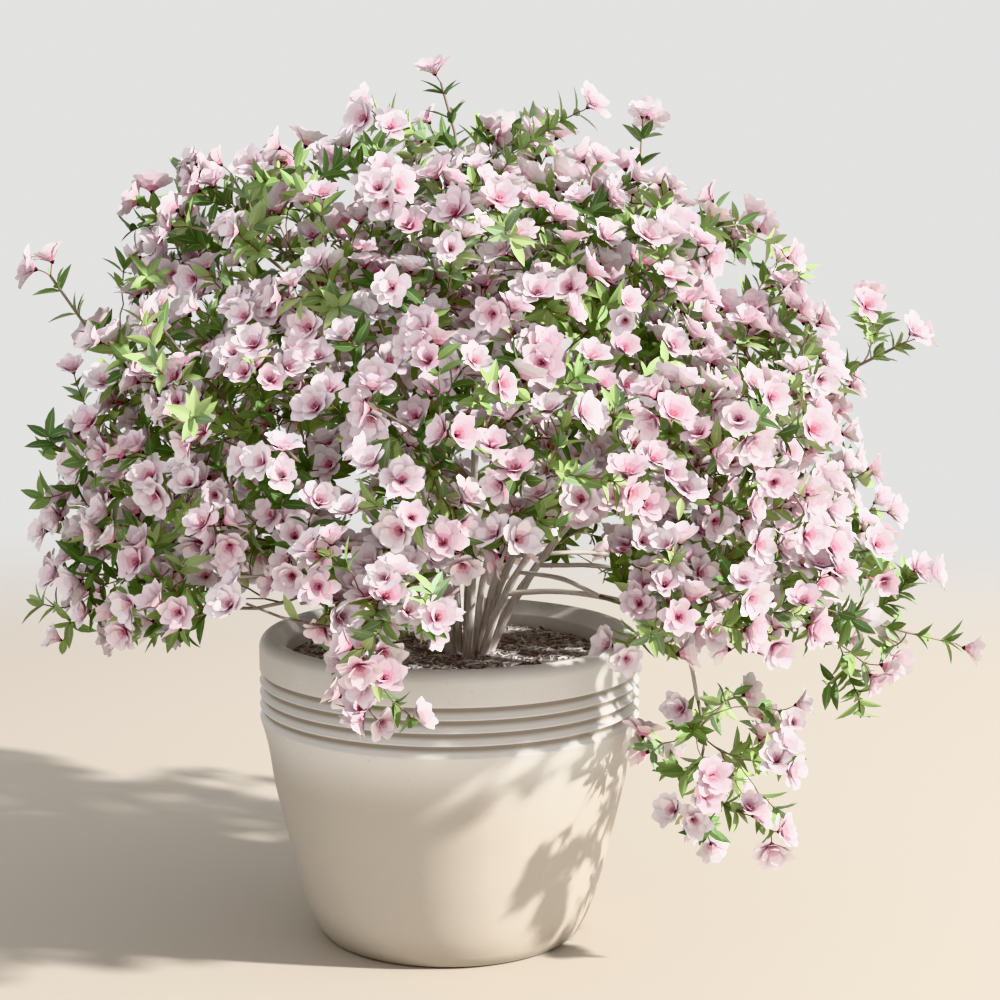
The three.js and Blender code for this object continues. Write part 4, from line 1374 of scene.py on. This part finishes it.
def blossom_template(seed):
    """One shape of blossom: seven outer and four inner petals, each a little its own way."""
    dice = np.random.default_rng(40 + seed)
    openness = 0.76 + 0.06 * seed
    points, faces, slots = [], [], []
    for layer in (OUTER, INNER):
        for k in range(layer.count):
            tilt = dice.normal(0, 0.15)
            low, high = (end * openness + tilt for end in layer.lean)
            shape, mesh = petal(
                lean=(low, high + dice.normal(0, 0.12)),
                length=PETAL_LENGTH * layer.size * dice.uniform(0.92, 1.06),
                width=PETAL_WIDTH * layer.size * dice.uniform(0.9, 1.1),
                cup=dice.uniform(0.10, 0.30), ruffle=dice.uniform(0.02, 0.06),
                phase=dice.uniform(0, 6.3), columns=layer.columns)
            faces.append(mesh + sum(len(item) for item in points))
            turn = 2 * np.pi * (k + layer.shift) / layer.count + dice.normal(0, 0.12)
            points.append(turned_about_z(shape, turn))
            slots.append(np.repeat(layer.pinks, layer.columns))
    return np.vstack(points), np.vstack(faces), np.concatenate(slots)


# %% Heart of a blossom
STAMEN_LENGTHS = 0.0105 * np.array([1, 0.86, 0.93])
STAMEN_LEANS = np.array([0.22, 0.38, 0.30])
STAMEN_RADII = [0.0002, 0.00045]
STAMENS = len(STAMEN_LEANS)
CALYX_SIDES = 5
CALYX_RINGS = [[0.0007, -0.0026], [0.0019, -0.0011], [0.0029, 0.0004]]
heart_finishes = [
    plain("stamen_thread", (236, 190, 186), 0.6),
    plain("stamen_head", (196, 132, 66), 0.7),
    plain("calyx_skin", (52, 22, 30), 0.6),
]


def heart_template():
    """Stamens and calyx: thin tubes that splay from the axis, over a small dark cup."""
    turn = 2 * np.pi * np.arange(STAMENS) / STAMENS + 0.3
    way = polar(np.sin(STAMEN_LEANS), turn, np.cos(STAMEN_LEANS))
    paths = way[:, None] * STAMEN_LENGTHS[:, None, None] * np.array([0.05, 1.0])[:, None]
    stamens, faces = tubes(paths, np.tile(STAMEN_RADII, (STAMENS, 1)), 3)
    slots = np.tile([0, 0, 0, 0, 0, 0, 1, 1, 1], STAMENS)
    size = stamens.shape[1]
    faces = np.where(faces < 0, -1, faces + size * np.arange(STAMENS)[:, None, None]).reshape(-1, 4)
    ring = 2 * np.pi * np.arange(CALYX_SIDES) / CALYX_SIDES
    rings = [polar(radius, ring, height) for radius, height in CALYX_RINGS]
    cup = grid_faces(len(CALYX_RINGS) - 1, CALYX_SIDES, closed=True) + size * STAMENS
    points = np.vstack([stamens.reshape(-1, 3), *rings])
    return points, np.vstack([faces, cup]), np.concatenate([slots, np.full(len(cup), 2)])


def blossoms_of(level, growth, dice):
    petals, hearts = Heap(), Heap()
    rows = np.array(growth.blossoms)
    seats, facings, tints = rows[:, :3], rows[:, 3:6], rows[:, 6].astype(int)
    spin = unit(dice.normal(size=seats.shape))
    bases = frames_from(spin - facings * (spin * facings).sum(axis=1, keepdims=True), facings)
    sizes = np.repeat(dice.uniform(0.86, 1.14, (len(seats), 1)), 3, axis=1)
    shape_of = dice.integers(0, BLOSSOM_SHAPES, len(seats))
    for shape in range(BLOSSOM_SHAPES):
        points, faces, slots = blossom_template(shape)
        chosen = shape_of == shape
        pinks = np.clip(slots[None] + tints[chosen, None] - 1, 0, PINKS - 1)
        petals.add(placed(points, sizes[chosen], bases[chosen], seats[chosen]), faces, pinks)
    points, faces, slots = heart_template()
    hearts.add(placed(points, sizes, bases, seats), faces, slots)
    made_hearts = hearts.to_object(f"blossom_hearts_{level}", heart_finishes)
    return petals.to_object(f"petals_{level}", pink_finishes), made_hearts


# %% The crown's pieces
for order, (level, growth) in enumerate(crown.items()):
    dice = np.random.default_rng(70 + order)
    twigs = wood_of(level, growth, dice)
    leaves = leaves_of(level, growth)
    petals, hearts = blossoms_of(level, growth, dice)
    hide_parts(*growth.nodes)
    for piece in (twigs, leaves, petals, hearts):
        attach(piece, "root")

# %% [markdown]
# ## Floor and light
#
# The part stands on a plain pale floor. Soft daylight comes from everywhere, and a small light
# from the right, a little in front and above, models the crown and throws leaf shadows on the
# planter.

# %% Floor
FLOOR_HALF = 40.0
FLOOR_FADE = (1.3, 3.0)
FLOOR_TINT = linear(190, 181, 169)


def floor_paint():
    """Pale and plain near the planter. Far off it thins out, so that no hard horizon shows."""
    paint = Paint("plain_floor", Base_Color=(*FLOOR_TINT, 1), Roughness=0.75)
    away = paint.number("ShaderNodeVectorMath", {"operation": "LENGTH"}, {0: paint.place()}, output="Value")
    clear = paint.node("ShaderNodeBsdfTransparent").outputs["BSDF"]
    inputs = {0: paint.mask(away, *FLOOR_FADE), 1: paint.shader.outputs["BSDF"], 2: clear}
    mixed = paint.node("ShaderNodeMixShader", inputs=inputs).outputs["Shader"]
    paint.feed(paint.tree.nodes["Material Output"].inputs["Surface"], mixed)
    return paint.material


floor_corners = np.array([[-1, -1, 0], [1, -1, 0], [1, 1, 0], [-1, 1, 0]]) * FLOOR_HALF - [0, 0, 0.001]
floor = single("floor", floor_corners, np.array([[0, 1, 2, 3]]), floor_paint())

# %% Light
KEY_PLACE = np.array([5.02, -1.83, 3.29])
KEY_AIM = np.array([0.0, 0.0, 0.45])
KEY_SIZE = 0.25
KEY_WATTS = 840
KEY_TINT = (1.0, 0.985, 0.965)
SKY_TINT = (0.96, 0.955, 0.95, 1)
SKY_STRENGTH = 0.85

key = bpy.data.objects.new("key_light", bpy.data.lights.new("key_light", "AREA"))
bpy.context.scene.collection.objects.link(key)
aim = KEY_PLACE - KEY_AIM
key.location = KEY_PLACE
key.rotation_euler = (np.arctan2(np.hypot(aim[0], aim[1]), aim[2]), 0, np.arctan2(aim[0], -aim[1]))
key.data.shape = "DISK"
key.data.size = KEY_SIZE
key.data.energy = KEY_WATTS
key.data.color = KEY_TINT

world = bpy.data.worlds.new("daylight")
bpy.context.scene.world = world
world.use_nodes = True
sky = world.node_tree.nodes["Background"].inputs
sky["Color"].default_value = SKY_TINT
sky["Strength"].default_value = SKY_STRENGTH
bpy.context.scene.view_settings.view_transform = "Khronos PBR Neutral"
